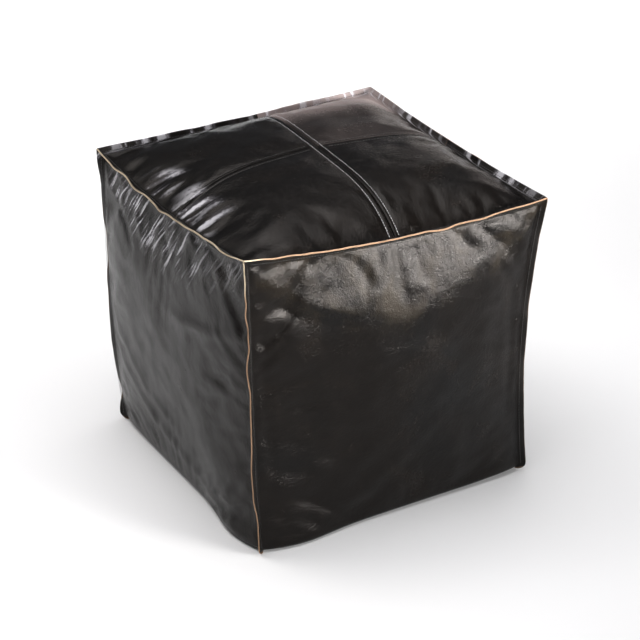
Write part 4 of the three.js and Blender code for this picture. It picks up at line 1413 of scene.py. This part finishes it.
for word in ("left", "right"):
    zip_pieces[f"zip_tape_{word}"] = make_tape(f"zip_tape_{word}", f"woven_tape_{word}")
print("zip pieces:", sorted(zip_pieces))


# %% Round the edges of the metal parts
def rounded_copy(node, name, width):
    """A frame node's own shape with every hard edge bevelled."""
    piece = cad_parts[node].copy()
    piece.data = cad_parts[node].data.copy()
    piece.name = name
    piece.parent = None
    for key in list(piece.keys()):
        del piece[key]
    bpy.context.scene.collection.objects.link(piece)
    make_active(piece)
    bpy.ops.object.mode_set(mode="EDIT")
    bpy.ops.mesh.select_all(action="SELECT")
    bpy.ops.mesh.remove_doubles(threshold=0.00001)
    bpy.ops.mesh.normals_make_consistent(inside=False)
    bpy.ops.mesh.dissolve_limited(angle_limit=math.radians(3))
    bpy.ops.object.mode_set(mode="OBJECT")
    edges = piece.modifiers.new("soft edges", "BEVEL")
    edges.width = width
    edges.segments = 2
    edges.limit_method = "ANGLE"
    edges.angle_limit = math.radians(40)
    apply_modifiers(piece)
    piece.data.materials.clear()
    piece.data.materials.append(metal_finish)
    make_active(piece)
    bpy.ops.object.shade_smooth_by_angle(angle=math.radians(35))
    return piece


metal_edges = {"zip_slider": ("metal_slider", 0.00022), "zip_pull_tab": ("metal_pull", 0.00025),
               "zip_top_stop": ("metal_top_stop", 0.0005), "zip_bottom_stop": ("metal_bottom_stop", 0.0005)}
metal_pieces = {node: rounded_copy(node, name, width) for node, (name, width) in metal_edges.items()}
print("metal pieces:", sorted(metal_pieces))

# %% [markdown]
# ## The inner bag and its filling
# Inside the leather is a cotton bag full of waste cotton, which can be lifted out through
# the zip. Neither is seen in use, but both are there, each a little smaller than what
# holds it.


# %% Finishes for the bag and the filling
def calico():
    finish = Finish("bag_calico", (0.62, 0.56, 0.45), Roughness=0.92,
                    Specular_IOR_Level=0.2, Sheen_Weight=0.3)
    place = finish.place()
    weave = finish.cells(place, 900)
    slubs = finish.noise(finish.scaled(place, (1, 1, 8)), 60, 3, 0.6)
    colour = finish.blend(finish.step(slubs, 0.45, 0.65), (0.60, 0.54, 0.43), (0.70, 0.65, 0.54))
    return finish.set(Base_Color=colour, Normal=finish.bump(weave + slubs * 0.5, 0.0003, 0.7))


def cotton_waste():
    finish = Finish("stuffing_cotton_waste", (0.72, 0.68, 0.60), Roughness=1.0,
                    Specular_IOR_Level=0.1, Sheen_Weight=0.4)
    place = finish.place()
    tufts = finish.noise(place, 45, 5, 0.7, 1.2)
    colour = finish.blend(finish.step(tufts, 0.35, 0.7), (0.55, 0.50, 0.42), (0.80, 0.77, 0.70))
    return finish.set(Base_Color=colour, Normal=finish.bump(tufts, 0.004, 0.8))


bag_finish, stuffing_finish = calico(), cotton_waste()


# %% Make the bag and the filling
def stuffed_core(name, inset, finish, lumps, seed):
    """A box a little smaller than the cover, rounded, stuffed and lumpy."""
    low, high = 0.0046 + inset / 3, root_height - leather - inset
    half = root_half - leather - inset
    clear_selection()
    bpy.ops.mesh.primitive_cube_add(
        size=1, location=(0, 0, (low + high) / 2), scale=(2 * half, 2 * half, high - low))
    core = bpy.context.object
    core.name = name
    settle(core)
    bpy.ops.object.mode_set(mode="EDIT")
    bpy.ops.mesh.select_all(action="SELECT")
    bpy.ops.mesh.bevel(offset=0.024, segments=4)
    bpy.ops.mesh.subdivide(number_cuts=7)
    bpy.ops.object.mode_set(mode="OBJECT")
    flat = np.array([v.co[:] for v in core.data.vertices])
    over_zip = 1 - ease(np.abs(flat[:, 0]), zip_bank, zip_bank + 0.020)
    flat[:, 2] += 0.009 * over_zip * (1 - ease(flat[:, 2], low, low + 0.05))
    points = pillow(flat)
    middle = points.mean(0)
    ways = points - middle
    ways /= np.linalg.norm(ways, axis=1, keepdims=True)
    bumps = field(points[:, 0] + points[:, 1], points[:, 2] + points[:, 0], 0.05, 0.05, seed)
    points = points - ways * (lumps * (1 + bumps))[:, None]
    core.data.vertices.foreach_set("co", points.astype(np.float32).ravel())
    core.data.update()
    finer = core.modifiers.new("finer", "SUBSURF")
    finer.levels = finer.render_levels = 1
    apply_modifiers(core)
    core.data.materials.append(finish)
    shade_smooth(core)
    return core


bag = stuffed_core("calico_bag", 0.0065, bag_finish, 0.0012, 41)
stuffing = stuffed_core("cotton_filling", 0.0105, stuffing_finish, 0.0015, 42)
print("bag", [round(v, 3) for v in bag.dimensions], "filling", [round(v, 3) for v in stuffing.dimensions])

# %% [markdown]
# ## Joining the pieces to the frame
# Each piece rides on a body of the frame and stands for the frame's own nodes, which are
# hidden. The slider and its pull move; the rest is one body.

# %% Ride and replace
pieces = [(sides[face], f"side_panel_{face}", "leather_black", "pouf") for face in faces]
pieces += [(seat[quarter], f"top_panel_{quarter}", "leather_black", "pouf") for quarter in quarters]
pieces += [(base[word], f"base_panel_{word}", "leather_black", "pouf") for word in base]
pieces += [(piece, node, "thread_light" if "topstitch_long" in node else "thread_dark", "pouf")
           for node, piece in thread_pieces.items()]
pieces += [(piece, node, "zip_tape" if "tape" in node else "zip_coil", "pouf")
           for node, piece in zip_pieces.items()]
metal_bodies = {"zip_slider": "slider", "zip_pull_tab": "pull_tab"}
pieces += [(piece, node, "zip_metal", metal_bodies.get(node, "pouf"))
           for node, piece in metal_pieces.items()]
pieces += [(bag, "inner_bag", "bag_cotton", "pouf"), (stuffing, "filling", "stuffing", "pouf")]

for piece, node, slot, body in pieces:
    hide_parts(node)
    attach(piece, body)
replaced = {node for _, node, _, _ in pieces}
print("pieces:", len(pieces), "nodes left as they are:", sorted(set(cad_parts) - replaced))

# %% [markdown]
# ## The studio
# Glossy black leather is drawn by what it reflects. A wide softbox overhead gives the
# general light, and the pale floor shows in the left side. A low softbox at the front
# right draws the upward-facing crescent of the front. Its spread is narrow, because the
# flat of the front mirrors the floor just before it, and that floor has to stay unlit.
# Two more behind catch the back of the seat, and one above the far floor keeps it white.


# %% Floor and lights
def pale_floor():
    finish = Finish("studio_floor", (0.86, 0.86, 0.86), Roughness=0.9, Specular_IOR_Level=0.1)
    clouds = finish.noise(finish.place(), 1.2, 2, 0.5)
    return finish.set(Base_Color=finish.blend(clouds, (0.86, 0.86, 0.86), (0.88, 0.88, 0.88)))


clear_selection()
bpy.ops.mesh.primitive_grid_add(x_subdivisions=8, y_subdivisions=8, size=14, location=(0, 0, 0))
floor = bpy.context.object
floor.name = "studio_floor"
floor.data.materials.append(pale_floor())


def softbox(name, place, aim, width, height, power, colour=(1, 1, 1), spread=180):
    lamp = bpy.data.lights.new(name, "AREA")
    lamp.shape = "RECTANGLE"
    lamp.size, lamp.size_y = width, height
    lamp.energy = power
    lamp.color = colour
    lamp.spread = math.radians(spread)
    box = bpy.data.objects.new(name, lamp)
    box.location = place
    box.rotation_euler = (Vector(aim) - Vector(place)).to_track_quat("-Z", "Y").to_euler()
    box.visible_camera = False
    bpy.context.scene.collection.objects.link(box)
    return box


softbox("softbox_overhead", (-0.3, 0.2, 3.2), (0, 0.1, 0), 2.8, 2.8, 112, (1.0, 0.99, 1.0))
softbox("softbox_front_right", (1.40, -2.05, 0.84), (0, -0.2, 0.90), 1.5, 0.70, 39, (1.0, 0.99, 0.98), 46)
softbox("softbox_back_right", (2.00, 2.05, 0.60), (0, 0, 0.42), 0.9, 0.5, 2.2, (1.0, 0.90, 0.84))
softbox("softbox_backdrop", (1.35, 2.5, 3.0), (1.35, 2.5, 0), 1.6, 1.6, 26, (1.0, 1.0, 1.0), 75)
softbox("softbox_back_left", (-1.6, 1.4, 2.2), (-0.4, 0.3, 0), 1.4, 1.4, 18, (1.0, 0.96, 0.92))

world = bpy.data.worlds.new("studio_air")
world.use_nodes = True
world.node_tree.nodes["Background"].inputs["Color"].default_value = (0.92, 0.94, 1.0, 1)
world.node_tree.nodes["Background"].inputs["Strength"].default_value = 0.13
bpy.context.scene.world = world
bpy.context.scene.view_settings.view_transform = "Standard"
